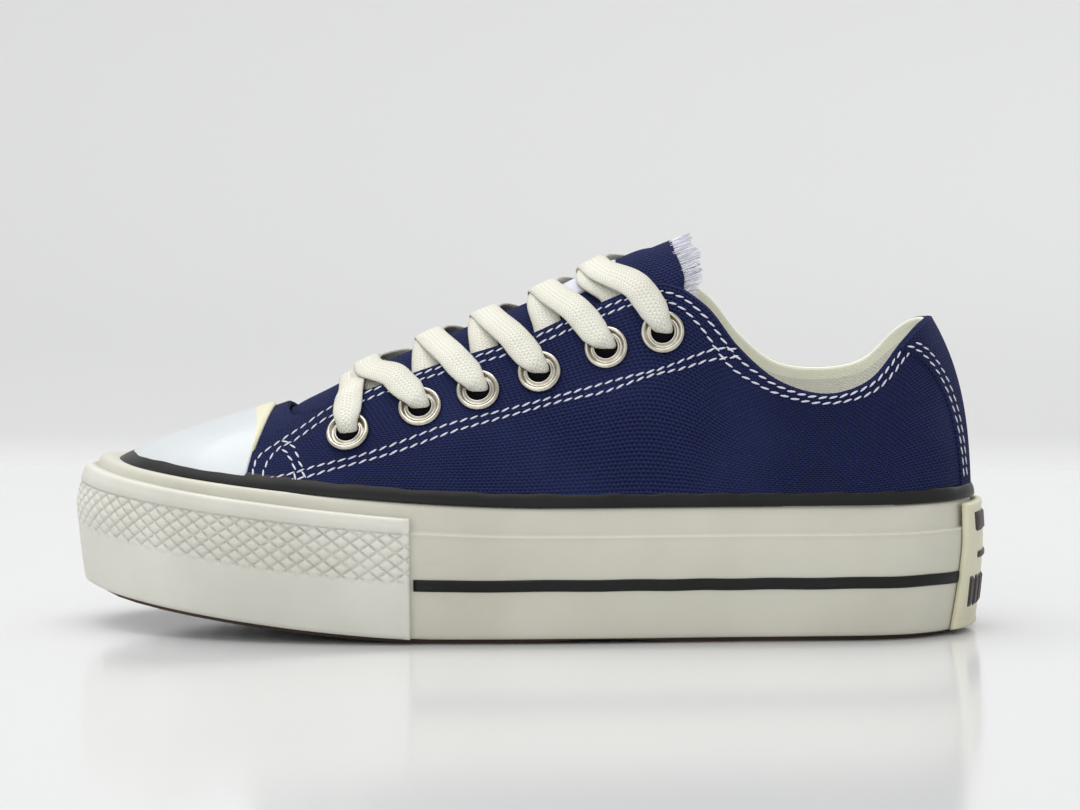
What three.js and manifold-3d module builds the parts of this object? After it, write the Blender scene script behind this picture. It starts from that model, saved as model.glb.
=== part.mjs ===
import * as THREE from "three";
import { ParametricGeometry } from "three/addons/geometries/ParametricGeometry.js";
import { mergeVertices } from "three/addons/utils/BufferGeometryUtils.js";
import Module from "manifold-3d";

const wasm = await Module();
wasm.setup();

// A low canvas sneaker for the left foot, standing on its sole.
// Millimetres. The toe points along -X, the outer side faces -Y and +Z is up.

// Driving sizes of the last and the upper
const lastLength = 247.3;
const lastBallWidth = 91.6;
const heelHeight = 52.4;
const instepHeight = 63.5;
const wall = 2;
const margin = 17;
const bedHeight = 24.6;
const heelLift = 2.5;
const insoleThickness = 3.5;

// Driving sizes of the sole, which stands out round the last
const heelStandOut = 2.6;
const toeStandOut = 14.6;
const ballStandOut = 3.7;
const soleHeight = 39.5;
const toeSpring = 11.4;
const springReach = 107;
const toeLift = 10.4;
const liftReach = 138;
const soleTaper = 2.4;
const toeShoulder = 3.4;
const shoulderInset = 1;
const tapeStep = 1.1;
const tapeStepHeight = 31.3;
const tapeEdge = 0.4;
const outsoleThickness = 5;
const outsoleInset = 6;
const outsoleStandOut = 1.5;
const waistRaise = 0.9;
const waistFront = -6;
const waistRear = 53;
const grooveWidth = 3.4;
const groovePitch = 8.6;
const grooveDepth = 2;
const treadRim = 4;

// Driving sizes of the trim
const clearance = 0.3;
const pipingHeight = 3.3;
const pipingToeHeight = 1.9;
const pipingReach = 1.9;
const pipingToeReach = 3.6;
const pipingThickness = 0.8;
const stripeHeight = 3.4;
const stripeMiddle = 17.2;
const stripeThickness = 0.8;
const stripeSetback = 1;
const bumperLength = 100.4;
const bumperDrop = 4.4;
const bumperToeDrop = 2.6;
const bumperThickness = 1.5;
const bumperLip = 0.8;
const bumperWrap = 0.4;
const bumperEdge = 0.8;
const bandBottom = 18.2;
const bandTop = 30.4;
const bandToeLift = 1;
const bandEdge = 0.5;
const labelHalfWidth = 18;
const labelThickness = 1.8;
const labelTop = 38.7;
const labelEdge = 0.6;
const capThickness = 1;
const capLength = 43;
const capCurve = 4.4;
const stripHalfTop = 15;
const stripHalfBottom = 11;
const stripThickness = 0.9;

// Driving sizes of the tongue, the eyelets and the lace
const tongueThickness = 2.4;
const tongueTuck = 15;
const tongueCrown = 10.5;
const tongueSlope = 22;
const tongueEnd = 13;
const tongueNarrowing = 0.11;
const patchLength = 21;
const patchWidth = 27;
const patchThickness = 0.6;
const patchSetback = 7;
const eyeletCount = 6;
const eyeletHole = 3.2;
const eyeletBarrel = 3.9;
const eyeletFlange = 6;
const eyeletDome = 1.3;
const eyeletWasher = 5.3;
const washerThickness = 0.7;
const eyeletSetback = 14;
const topEyeletDrop = 1.6;
const firstEyeletStation = 12.4;
const lastEyeletStation = 7.9;
const throatTop = 8;
const laceWidth = 8;
const laceThickness = 1.5;
const laceGather = 0.6;
const laceRise = 1.2;
const laceStop = 2;
const barRoom = 0.4;

// Smoothness of the faceted surfaces
const stepsPerStation = 2;
const straight = { from: 8, to: 12 };
const upperRows = 5;
const eyeletSides = 8;
const capRows = 5;
const stripRows = 7;
const stripCrosses = 6;
const tongueCrosses = 10;
const laceSpans = 12;

// Each row is a section through the foot, from the back of the heel to the tip of the toe.
// along: share of the sole's or last's length from the heel. outer, inner: share of half the width
// at the ball. instep, heel: share of the instep's and heel's height above the foxing.
// lift: how much higher the inner side's edge is, as a share of the instep's height.
// start, end: lean of the wall at its foot and its edge, as shares of the lean of its chord.
// hold: how far the wall keeps the lean of its foot, as a share of its chord.
// crown: height of the tongue over its edges, as a share of its crown.
const sections = [
  { sole: { along: 0, outer: 0, inner: 0 }, foot: { along: 0, outer: 0, inner: 0 },
    edge: { along: 0.05, outer: 0, inner: 0, instep: 0, heel: 1, lift: 0 },
    start: 0.15, end: 2.4, hold: 0.36, crown: 0 },
  { sole: { along: 0.02, outer: -0.38, inner: 0.38 }, foot: { along: 0.023, outer: -0.38, inner: 0.38 },
    edge: { along: 0.063, outer: -0.34, inner: 0.34, instep: 0, heel: 0.97, lift: 0 },
    start: 0.2, end: 2.3, hold: 0.36, crown: 0 },
  { sole: { along: 0.06, outer: -0.615, inner: 0.615 }, foot: { along: 0.065, outer: -0.61, inner: 0.61 },
    edge: { along: 0.085, outer: -0.53, inner: 0.54, instep: 0, heel: 0.872, lift: 0.01 },
    start: 0.5, end: 2, hold: 0.36, crown: 0 },
  { sole: { along: 0.11, outer: -0.727, inner: 0.727 }, foot: { along: 0.115, outer: -0.725, inner: 0.725 },
    edge: { along: 0.121, outer: -0.666, inner: 0.662, instep: 0, heel: 0.683, lift: 0.03 },
    start: 0.9, end: 1.2, hold: 0.36, crown: 0 },
  { sole: { along: 0.168, outer: -0.774, inner: 0.764 }, foot: { along: 0.176, outer: -0.769, inner: 0.76 },
    edge: { along: 0.172, outer: -0.725, inner: 0.71, instep: 0, heel: 0.611, lift: 0.044 },
    start: 1, end: 1, hold: 0.36, crown: 0 },
  { sole: { along: 0.23, outer: -0.808, inner: 0.768 }, foot: { along: 0.24, outer: -0.803, inner: 0.76 },
    edge: { along: 0.228, outer: -0.738, inner: 0.72, instep: 0, heel: 0.686, lift: 0.01 },
    start: 1, end: 1, hold: 0.36, crown: 0 },
  { sole: { along: 0.281, outer: -0.838, inner: 0.758 }, foot: { along: 0.293, outer: -0.834, inner: 0.747 },
    edge: { along: 0.274, outer: -0.71, inner: 0.694, instep: 0.18, heel: 0.65, lift: 0 },
    start: 0.8, end: 1.3, hold: 0.36, crown: 0 },
  { sole: { along: 0.325, outer: -0.869, inner: 0.747 }, foot: { along: 0.337, outer: -0.865, inner: 0.738 },
    edge: { along: 0.313, outer: -0.64, inner: 0.618, instep: 0.904, heel: 0, lift: 0 },
    start: 0.6, end: 1.5, hold: 0.36, crown: 0.95 },
  { sole: { along: 0.374, outer: -0.905, inner: 0.752 }, foot: { along: 0.389, outer: -0.9, inner: 0.738 },
    edge: { along: 0.365, outer: -0.568, inner: 0.535, instep: 1, heel: 0, lift: 0.005 },
    start: 0.5, end: 1.5, hold: 0.36, crown: 1 },
  { sole: { along: 0.433, outer: -0.939, inner: 0.778 }, foot: { along: 0.45, outer: -0.939, inner: 0.764 },
    edge: { along: 0.442, outer: -0.546, inner: 0.502, instep: 0.901, heel: 0, lift: 0.018 },
    start: 0.5, end: 1.5, hold: 0.36, crown: 0.86 },
  { sole: { along: 0.508, outer: -0.98, inner: 0.838 }, foot: { along: 0.53, outer: -0.978, inner: 0.83 },
    edge: { along: 0.522, outer: -0.546, inner: 0.491, instep: 0.759, heel: 0, lift: 0.022 },
    start: 0.52, end: 1.42, hold: 0.36, crown: 0.86 },
  { sole: { along: 0.588, outer: -1, inner: 0.919 }, foot: { along: 0.611, outer: -1, inner: 0.913 },
    edge: { along: 0.611, outer: -0.557, inner: 0.491, instep: 0.646, heel: 0, lift: 0.02 },
    start: 0.55, end: 1.42, hold: 0.36, crown: 0.76 },
  { sole: { along: 0.671, outer: -0.99, inner: 0.984 }, foot: { along: 0.696, outer: -0.987, inner: 0.974 },
    edge: { along: 0.696, outer: -0.568, inner: 0.513, instep: 0.526, heel: 0, lift: 0.015 },
    start: 0.56, end: 1.42, hold: 0.36, crown: 0.7 },
  { sole: { along: 0.75, outer: -0.946, inner: 0.996 }, foot: { along: 0.776, outer: -0.934, inner: 0.982 },
    edge: { along: 0.764, outer: -0.524, inner: 0.502, instep: 0.413, heel: 0, lift: 0.008 },
    start: 0.58, end: 1.4, hold: 0.36, crown: 0.69 },
  { sole: { along: 0.833, outer: -0.838, inner: 0.939 }, foot: { along: 0.857, outer: -0.808, inner: 0.917 },
    edge: { along: 0.796, outer: -0.36, inner: 0.382, instep: 0.381, heel: 0, lift: 0 },
    start: 0.56, end: 1.25, hold: 0.28, crown: 0.35 },
  { sole: { along: 0.909, outer: -0.646, inner: 0.788 }, foot: { along: 0.925, outer: -0.611, inner: 0.753 },
    edge: { along: 0.806, outer: -0.207, inner: 0.251, instep: 0.403, heel: 0, lift: 0 },
    start: 0.4, end: 1.12, hold: 0.2, crown: 0.12 },
  { sole: { along: 0.97, outer: -0.343, inner: 0.525 }, foot: { along: 0.978, outer: -0.317, inner: 0.48 },
    edge: { along: 0.808, outer: -0.076, inner: 0.142, instep: 0.416, heel: 0, lift: 0 },
    start: 0.2, end: 1.04, hold: 0.12, crown: 0.03 },
  { sole: { along: 1, outer: 0.1, inner: 0.1 }, foot: { along: 1, outer: 0.109, inner: 0.109 },
    edge: { along: 0.809, outer: 0.033, inner: 0.033, instep: 0.419, heel: 0, lift: 0 },
    start: 0.1, end: 1, hold: 0.085, crown: 0 },
];

// Places worked out from the sizes
const soleLength = heelStandOut + lastLength + toeStandOut;
const soleBallWidth = lastBallWidth + 2 * ballStandOut;
const lastSection = sections.length - 1;
const loopStations = 2 * lastSection;
const soleHeel = soleLength / 2;
const lastHeel = soleHeel - heelStandOut;
const up = new THREE.Vector3(0, 0, 1);
const tongueAngle = THREE.MathUtils.degToRad(tongueSlope);
const tongueAlong = new THREE.Vector3(Math.cos(tongueAngle), 0, Math.sin(tongueAngle));
const tongueRise = new THREE.Vector3(-Math.sin(tongueAngle), 0, Math.cos(tongueAngle));
const edgeStep = 0.01;
const edgeHold = 0.36;
const rampPower = 1.5;
const heelRamp = { front: -0.1, rear: 0.25 };
const toeZone = { front: -0.5, rear: -0.34 };
const bedSpring = 1.1;
const laceSpace = laceThickness + 4 * clearance;
const throatEnd = { from: 12.8, to: 14 };

// A smooth value between the rows of the table, right round the shoe:
// stations 0 to 17 run along the outer side, and the rest come back along the inner side.
function around(station, read) {
  const first = Math.floor(station);
  const t = station - first;
  const value = (shift) => {
    const place = (((first + shift) % loopStations) + loopStations) % loopStations;
    const isOuter = place <= lastSection;
    return read(sections[isOuter ? place : loopStations - place], isOuter ? "outer" : "inner");
  };
  const [a, b, c, d] = [value(-1), value(0), value(1), value(2)];
  const slopeIn = (c - a) / 2;
  const slopeOut = (d - b) / 2;
  const bend = 2 * b - 2 * c + slopeIn + slopeOut;
  const turn = 3 * c - 3 * b - 2 * slopeIn - slopeOut;
  return ((bend * t + turn) * t + slopeIn) * t + b;
}

// Heights that follow the toe's lift, as functions of the place along X
function rampUp(x, reach) {
  const share = Math.max(0, (reach - soleLength / 2 - x) / reach);
  return share ** rampPower;
}

function bottomHeight(x) {
  return toeSpring * rampUp(x, springReach);
}

function foxingTop(x) {
  return soleHeight + toeLift * rampUp(x, liftReach);
}

function bedSurface(x) {
  const heelShare = THREE.MathUtils.smoothstep(x / soleLength, heelRamp.front, heelRamp.rear);
  return bedHeight + heelLift * heelShare + bedSpring * bottomHeight(x);
}

function toeShare(x) {
  return 1 - THREE.MathUtils.smoothstep(x / soleLength, toeZone.front, toeZone.rear);
}

// Outlines seen from above: the sole's widest line and the upper's foot
function soleOutline(station) {
  const x = soleHeel - soleLength * around(station, (row) => row.sole.along);
  const y = (soleBallWidth / 2) * around(station, (row, side) => row.sole[side]);
  return new THREE.Vector3(x, y, 0);
}

function footOutline(station) {
  const x = lastHeel - lastLength * around(station, (row) => row.foot.along);
  const y = (lastBallWidth / 2) * around(station, (row, side) => row.foot[side]);
  return new THREE.Vector3(x, y, foxingTop(x));
}

function outwards(outline, station) {
  const before = outline(station - edgeStep);
  const after = outline(station + edgeStep);
  return new THREE.Vector3(before.y - after.y, after.x - before.x, 0).normalize();
}

function movedOut(outline, station, distance) {
  return outline(station).addScaledVector(outwards(outline, station), distance);
}

// The upper's topline: collar, top corners and throat
function toplinePoint(station) {
  const x = lastHeel - lastLength * around(station, (row) => row.edge.along);
  const y = (lastBallWidth / 2) * around(station, (row, side) => row.edge[side]);
  const instep = around(station, (row, side) => row.edge.instep + (side === "inner" ? row.edge.lift : 0));
  const heel = around(station, (row) => row.edge.heel);
  return new THREE.Vector3(x, y, soleHeight + instepHeight * instep + heelHeight * heel);
}

// The upper's outer surface: share 0 is its foot and share 1 its topline
function upperPoint(station, share) {
  const foot = footOutline(station);
  const edge = toplinePoint(station);
  const across = new THREE.Vector3(edge.x - foot.x, edge.y - foot.y, 0);
  const lean = Math.atan2(across.length(), edge.z - foot.z);
  const chord = foot.distanceTo(edge);
  across.normalize();
  const towards = (angle) => up.clone().multiplyScalar(Math.cos(angle))
    .addScaledVector(across, Math.sin(angle));
  const startLean = lean * around(station, (row) => row.start);
  const endLean = lean * around(station, (row) => row.end);
  const curve = new THREE.CubicBezierCurve3(
    foot,
    foot.clone().addScaledVector(towards(startLean), chord * around(station, (row) => row.hold)),
    edge.clone().addScaledVector(towards(endLean), -edgeHold * chord),
    edge,
  );
  return curve.getPoint(share);
}

function upperNormal(station, share) {
  const low = Math.max(0, share - edgeStep);
  const high = Math.min(1, share + edgeStep);
  const alongWall = upperPoint(station, high).sub(upperPoint(station, low));
  const round = upperPoint(station + edgeStep, share).sub(upperPoint(station - edgeStep, share));
  return round.cross(alongWall).normalize().negate();
}

function upperOffset(station, share, distance) {
  return upperPoint(station, share).addScaledVector(upperNormal(station, share), distance);
}

// The share at which the surface lies a given distance down from the topline
function shareBelowEdge(station, distance) {
  let share = 1;
  let walked = 0;
  let last = upperPoint(station, 1);
  while (walked < distance && share > edgeStep) {
    const next = upperPoint(station, share - edgeStep);
    const step = next.distanceTo(last);
    share -= edgeStep * Math.min(1, (distance - walked) / step);
    walked += step;
    last = next;
  }
  return share;
}

// The share at which the surface lies a given height above the foxing's top
function shareAboveFoxing(station, height) {
  const floor = footOutline(station).z;
  let share = 0;
  let last = 0;
  while (share < 1) {
    const next = upperPoint(station, share + edgeStep).z - floor;
    if (next > height) {
      return share + (edgeStep * (height - last)) / (next - last);
    }
    share += edgeStep;
    last = next;
  }
  return 1;
}

// Closed solids from surfaces
function closedGeometry(geometry) {
  geometry.deleteAttribute("normal");
  geometry.deleteAttribute("uv");
  const merged = mergeVertices(geometry, 1e-3);
  const index = [...merged.index.array];
  const faces = [];
  for (let k = 0; k < index.length; k += 3) {
    const [a, b, c] = index.slice(k, k + 3);
    if (a !== b && b !== c && c !== a) {
      faces.push(a, b, c);
    }
  }
  const place = merged.attributes.position;
  const corner = (k) => new THREE.Vector3().fromBufferAttribute(place, faces[k]);
  let volume = 0;
  for (let k = 0; k < faces.length; k += 3) {
    volume += corner(k).dot(corner(k + 1).cross(corner(k + 2)));
  }
  merged.setIndex(volume < 0 ? faces.reverse() : faces);
  return merged;
}

// A shell between two surfaces, each given as a function of a span and a cross number.
// Its ends are closed across the thickness, unless it runs right round.
function shell(spans, crosses, outerAt, innerAt, ends = "flat") {
  const rows = [];
  for (let i = 0; i <= spans; i += 1) {
    const outer = [];
    const inner = [];
    for (let j = 0; j <= crosses; j += 1) {
      outer.push(outerAt(i, j));
      inner.push(innerAt(i, j));
    }
    rows.push([...outer, ...inner.reverse()]);
  }
  const middle = (row) => row.map((point, j) => point.clone().add(row[row.length - 1 - j]).divideScalar(2));
  if (ends === "flat") {
    rows.unshift(middle(rows[0]));
    rows.push(middle(rows[rows.length - 1]));
  } else {
    rows[rows.length - 1] = rows[0];
  }
  const sides = 2 * crosses + 2;
  const pointAt = (u, v, target) => {
    const row = rows[Math.round(u * (rows.length - 1))];
    target.copy(row[Math.round(v * sides) % sides]);
  };
  return closedGeometry(new ParametricGeometry(pointAt, rows.length - 1, sides));
}

// Stations right round the shoe, fewer along the straight part of each side
function ringStations() {
  const side = [];
  for (let station = 0; station < lastSection; station += 1) {
    const steps = station >= straight.from && station < straight.to ? 1 : stepsPerStation;
    for (let k = 0; k < steps; k += 1) {
      side.push(station + k / steps);
    }
  }
  const back = side.slice(1).reverse().map((station) => loopStations - station);
  return [...side, lastSection, ...back, loopStations];
}

// A ring right round the shoe, from two lists of points at each station
function ring(outerList, innerList) {
  const stations = ringStations();
  const outer = stations.map(outerList);
  const inner = stations.map(innerList);
  const crosses = outer[0].length - 1;
  return shell(stations.length - 1, crosses, (i, j) => outer[i][j], (i, j) => inner[i][j], "round");
}

// A plate with the outline's shape, between two heights
function plate(outlineAt, topAt, bottomAt, steps = stepsPerStation, crosses = 2) {
  const count = lastSection * steps;
  const level = (heightAt) => (i, j) => {
    const a = outlineAt(i / steps);
    const b = outlineAt(loopStations - i / steps);
    const point = a.lerp(b, j / crosses);
    return point.setZ(heightAt(point.x, point.y));
  };
  return shell(count, crosses, level(topAt), level(bottomAt), "flat");
}

// Joining and cutting
function toSolid(geometry) {
  const plain = geometry.clone();
  plain.deleteAttribute("normal");
  plain.deleteAttribute("uv");
  const merged = mergeVertices(plain, 1e-4);
  return new wasm.Manifold(new wasm.Mesh({
    numProp: 3,
    vertProperties: new Float32Array(merged.attributes.position.array),
    triVerts: new Uint32Array(merged.index.array),
  }));
}

function toGeometry(solid) {
  const { vertProperties, triVerts } = solid.getMesh();
  const geometry = new THREE.BufferGeometry();
  geometry.setAttribute("position", new THREE.BufferAttribute(vertProperties, 3));
  geometry.setIndex(new THREE.BufferAttribute(triVerts, 1));
  return geometry;
}

const shoe = new THREE.Group();

function addPiece(name, geometry, color, roughness, metalness = 0) {
  const material = new THREE.MeshStandardMaterial({ color, roughness, metalness });
  const mesh = new THREE.Mesh(geometry, material);
  mesh.name = name;
  shoe.add(mesh);
}

const canvasNavy = 0x1d2055;
const rubberCream = 0xd9d6c6;
const rubberBlack = 0x252527;
const rubberBrown = 0x4a2f22;
const capWhite = 0xe8eef0;
const laceCream = 0xeeece0;
const eyeletMetal = 0xb5ac98;
const liningCream = 0xe1dfca;

const taperShare = 0.7;
const shoulderShare = 0.6;

// The sole's side: a point of the foxing's outer face at a share of its height
function sidePoint(station, share, distance = 0) {
  const widest = soleOutline(station);
  const low = bottomHeight(widest.x) + outsoleStandOut;
  const high = foxingTop(widest.x);
  const shoulder = shoulderInset + toeShoulder * toeShare(widest.x);
  const taper = soleTaper * Math.max(0, 1 - share / taperShare) ** rampPower;
  const lean = shoulder * Math.max(0, (share - shoulderShare) / (1 - shoulderShare)) ** rampPower;
  const point = movedOut(soleOutline, station, distance - taper - lean);
  return point.setZ(THREE.MathUtils.lerp(low, high, share));
}

function shareOfHeight(station, height) {
  const { x } = soleOutline(station);
  const low = bottomHeight(x) + outsoleStandOut;
  return (height - low) / (foxingTop(x) - low);
}

const stepShare = (tapeStepHeight - outsoleStandOut) / (soleHeight - outsoleStandOut);
const coreInset = wall + clearance;

// Outsole: a plate with cross grooves at the heel and the forefoot and a raised waist
function makeOutsole() {
  const outline = (inset) => (station) => movedOut(soleOutline, station, -inset);
  const waist = (x) => {
    const share = THREE.MathUtils.clamp((x - waistFront) / (waistRear - waistFront), 0, 1);
    return waistRaise * Math.sin(Math.PI * share) ** 2;
  };
  const body = plate(
    outline(outsoleInset),
    (x) => bottomHeight(x) + outsoleThickness,
    (x) => bottomHeight(x) + waist(x),
  );
  const tread = plate(
    outline(outsoleInset + treadRim),
    (x) => bottomHeight(x) + grooveDepth,
    (x) => bottomHeight(x) - grooveDepth,
    1,
    1,
  );
  const endRoom = outsoleInset + 2 * treadRim;
  let grooves;
  for (let x = endRoom - soleHeel; x < soleHeel - endRoom; x += groovePitch) {
    if (x > waistFront && x < waistRear) {
      continue;
    }
    const bar = new THREE.BoxGeometry(grooveWidth, soleBallWidth, 2 * toeSpring);
    const slot = toSolid(bar.translate(x, 0, bottomHeight(x)));
    grooves = grooves ? grooves.add(slot) : slot;
  }
  return toGeometry(toSolid(body).subtract(grooves.intersect(toSolid(tread))));
}

// Midsole: the platform's core, its top cut to the bottom of the last
function makeMidsole() {
  return plate(
    (station) => movedOut(footOutline, station, -coreInset),
    (x) => bedSurface(x),
    (x) => bottomHeight(x) + outsoleThickness + 2 * clearance,
    1,
  );
}

// Insole: lies on the midsole, inside the upper
function makeInsole() {
  return plate(
    (station) => movedOut(footOutline, station, -coreInset - clearance),
    (x) => bedSurface(x) + clearance + insoleThickness,
    (x) => bedSurface(x) + clearance,
    1,
  );
}

// Foxing: the tape round the sole, stepped outside and rebated inside for the upper's margin
function makeFoxing() {
  const stepBy = tapeEdge / soleHeight;
  const outer = (station) => [
    sidePoint(station, 0),
    sidePoint(station, 0.5 * shoulderShare),
    sidePoint(station, shoulderShare),
    sidePoint(station, stepShare - stepBy),
    sidePoint(station, stepShare + stepBy, -tapeStep),
    sidePoint(station, 1, -tapeStep),
  ];
  const inner = (station) => {
    const rebate = movedOut(footOutline, station, clearance);
    const core = movedOut(footOutline, station, clearance - coreInset);
    const tread = movedOut(soleOutline, station, clearance - outsoleInset);
    const ledge = bottomHeight(tread.x) + outsoleThickness + clearance;
    return [
      tread.clone().setZ(bottomHeight(tread.x) + outsoleStandOut),
      tread.clone().setZ(ledge),
      core.clone().setZ(bottomHeight(core.x) + outsoleThickness + clearance),
      core.clone().setZ(foxingTop(core.x) - margin - clearance),
      rebate.clone().setZ(foxingTop(rebate.x) - margin - clearance),
      rebate.clone().setZ(foxingTop(rebate.x)),
    ];
  };
  return ring(outer, inner);
}

// Piping: lies on the foxing's top and against the upper's foot
function pipingTop(station) {
  const toe = toeShare(footOutline(station).x);
  return clearance + THREE.MathUtils.lerp(pipingHeight, pipingToeHeight, toe);
}

function pipingEdge(station) {
  return shareAboveFoxing(station, pipingTop(station));
}

function makePiping() {
  const reachAt = (station) => pipingReach + pipingToeReach * toeShare(footOutline(station).x);
  const gap = 1.2 * clearance;
  const outer = (station) => {
    const low = movedOut(footOutline, station, reachAt(station));
    const middle = movedOut(footOutline, station, 0.95 * reachAt(station));
    const top = upperOffset(station, pipingEdge(station), gap + pipingThickness);
    low.z = foxingTop(low.x) + clearance;
    middle.z = foxingTop(low.x) + 0.6 * pipingTop(station);
    return [low, middle, top];
  };
  const inner = (station) => {
    const low = movedOut(footOutline, station, clearance);
    low.z = foxingTop(low.x) + clearance;
    const middle = upperOffset(station, 0.5 * pipingEdge(station), gap);
    return [low, middle, upperOffset(station, pipingEdge(station), gap)];
  };
  return ring(outer, inner);
}

// A band on the foxing's outer face, between two stations, from a list of heights and thicknesses
function sideBand(from, to, spans, profileAt, gap = clearance) {
  const stationAt = (i) => THREE.MathUtils.lerp(from, to, i / spans);
  const height = (station, z) => shareOfHeight(station, z + bottomHeight(soleOutline(station).x));
  const outer = (i, j) => {
    const station = stationAt(i);
    const [z, thickness] = profileAt(station)[j];
    return sidePoint(station, height(station, z), gap + thickness);
  };
  const inner = (i, j) => {
    const station = stationAt(i);
    return sidePoint(station, height(station, profileAt(station)[j][0]), gap);
  };
  return shell(spans, profileAt(from).length - 1, outer, inner);
}

// The station on the outer side (or the inner one) where the sole's outline passes a place along X
function stationAtX(x, isOuter = true) {
  let station = 0;
  const at = (k) => (isOuter ? k : loopStations - k);
  while (station < lastSection && soleOutline(at(station)).x > x) {
    station += edgeStep;
  }
  return at(station);
}

const bumperRear = bumperLength - soleLength / 2;

function makeBumper() {
  const profileAt = (station) => {
    const { x } = soleOutline(station);
    const lift = foxingTop(x) - soleHeight;
    const share = THREE.MathUtils.clamp((bumperRear - x) / bumperLength, 0, 1);
    const top = soleHeight + lift - THREE.MathUtils.lerp(bumperDrop, bumperToeDrop, share) - bottomHeight(x);
    const bottom = bandBottom + share * bandToeLift;
    const high = bandTop + lift - bottomHeight(x) + share * bandToeLift;
    return [
      [outsoleStandOut, bumperThickness + bumperWrap],
      [bottom, bumperThickness + bumperWrap],
      [bottom + bandEdge, bumperThickness],
      [(bottom + high) / 2, bumperThickness],
      [high - bandEdge, bumperThickness],
      [high, bumperThickness + bumperLip],
      [top - bumperEdge, bumperThickness + bumperLip],
      [top, bumperThickness],
    ];
  };
  const spans = 24;
  return sideBand(stationAtX(bumperRear), stationAtX(bumperRear, false), spans, profileAt, 2 * clearance);
}

// Stripe: runs round the heel side from one end of the bumper to the other, under the heel patch
function makeStripe() {
  const profileAt = () => [
    [stripeMiddle - stripeHeight / 2, stripeThickness],
    [stripeMiddle + stripeHeight / 2, stripeThickness],
  ];
  const start = stationAtX(bumperRear + stripeSetback);
  const end = stationAtX(bumperRear + stripeSetback, false) - loopStations;
  const spans = 38;
  return sideBand(end, start, spans, profileAt);
}

function makeHeelLabel() {
  const reach = stationAtY(labelHalfWidth);
  const profileAt = () => [
    [outsoleStandOut, labelThickness],
    [0.35 * labelTop, labelThickness],
    [0.75 * labelTop, labelThickness],
    [labelTop - labelEdge, labelThickness],
    [labelTop, 0.6 * labelThickness],
  ];
  return sideBand(-reach, reach, 8, profileAt, 2 * clearance + stripeThickness);
}

function stationAtY(y) {
  let station = 0;
  while (station < lastSection && -soleOutline(station).y < y) {
    station += edgeStep;
  }
  return station;
}

// Upper: the hollow shell with its margin, with a hole for each eyelet
function eyeletPlace(number, isInner) {
  const share = (number - 1) / (eyeletCount - 1);
  const station = THREE.MathUtils.lerp(firstEyeletStation, lastEyeletStation, share);
  const at = isInner ? loopStations - station : station;
  const setback = eyeletSetback + (number === eyeletCount ? topEyeletDrop : 0);
  return { station: at, share: shareBelowEdge(at, setback), setback };
}

function alongNormal(geometry, place, lift = 0) {
  const normal = upperNormal(place.station, place.share);
  const turn = new THREE.Quaternion().setFromUnitVectors(new THREE.Vector3(0, 1, 0), normal);
  const point = upperPoint(place.station, place.share).addScaledVector(normal, lift);
  return geometry.applyQuaternion(turn).translate(point.x, point.y, point.z);
}

function makeUpper() {
  const shares = [];
  for (let j = 0; j <= upperRows; j += 1) {
    shares.push(j / upperRows);
  }
  const outer = (station) => {
    const hem = footOutline(station);
    hem.z -= margin;
    return [hem, ...shares.map((share) => upperPoint(station, share))];
  };
  const inner = (station) => {
    const foot = movedOut(footOutline, station, -wall);
    const edge = toplinePoint(station);
    const { x, y, z } = footOutline(station);
    const lean = Math.atan2(Math.hypot(edge.x - x, edge.y - y), edge.z - z);
    foot.z = z - wall * Math.tan((lean * around(station, (row) => row.start)) / 2);
    const hem = foot.clone().setZ(z - margin);
    return [hem, foot, ...shares.slice(1).map((share) => upperOffset(station, share, -wall))];
  };
  let solid = toSolid(ring(outer, inner));
  for (const isInner of [false, true]) {
    for (let number = 1; number <= eyeletCount; number += 1) {
      const radius = eyeletBarrel + clearance;
      const drill = new THREE.CylinderGeometry(radius, radius, 5 * wall, eyeletSides);
      solid = solid.subtract(toSolid(alongNormal(drill, eyeletPlace(number, isInner))));
    }
  }
  return toGeometry(solid);
}

function makeEyelet(number, isInner) {
  const gap = 2 * clearance;
  const back = -wall - gap - washerThickness;
  const profile = [
    [eyeletHole, back],
    [eyeletWasher, back],
    [eyeletWasher, -wall - gap],
    [eyeletBarrel, -wall - gap],
    [eyeletBarrel, gap],
    [eyeletFlange, gap],
    [0.8 * eyeletFlange, gap + eyeletDome],
    [eyeletHole, gap + 0.5 * eyeletDome],
    [eyeletHole, back],
  ];
  const points = profile.map(([r, y]) => new THREE.Vector2(r, y));
  const lathe = new THREE.LatheGeometry(points, eyeletSides);
  return closedGeometry(alongNormal(lathe, eyeletPlace(number, isInner)));
}

// Toe cap: a shell on the upper's own surface, cut by a curved line across the toes
function makeToeCap() {
  const reach = 4;
  const steps = 2.5;
  const stationAt = (i) => lastSection - reach + i / steps;
  const surface = (distance) => (i, j) => {
    const station = stationAt(i);
    const low = pipingEdge(station) + 1.5 * edgeStep;
    return upperOffset(station, THREE.MathUtils.lerp(low, 1 - 2 * edgeStep, j / capRows), distance);
  };
  const blank = shell(2 * reach * steps, capRows, surface(clearance + capThickness), surface(clearance));
  const rear = lastHeel - lastLength + capLength;
  const half = soleBallWidth / 2;
  const cut = new THREE.Shape();
  cut.moveTo(-soleLength, -half);
  cut.lineTo(rear - capCurve, -half);
  cut.quadraticCurveTo(rear + capCurve, 0, rear - capCurve, half);
  cut.lineTo(-soleLength, half);
  const block = new THREE.ExtrudeGeometry(cut, { depth: 2 * instepHeight, bevelEnabled: false, curveSegments: 8 });
  return toGeometry(toSolid(blank).intersect(toSolid(block)));
}

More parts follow.
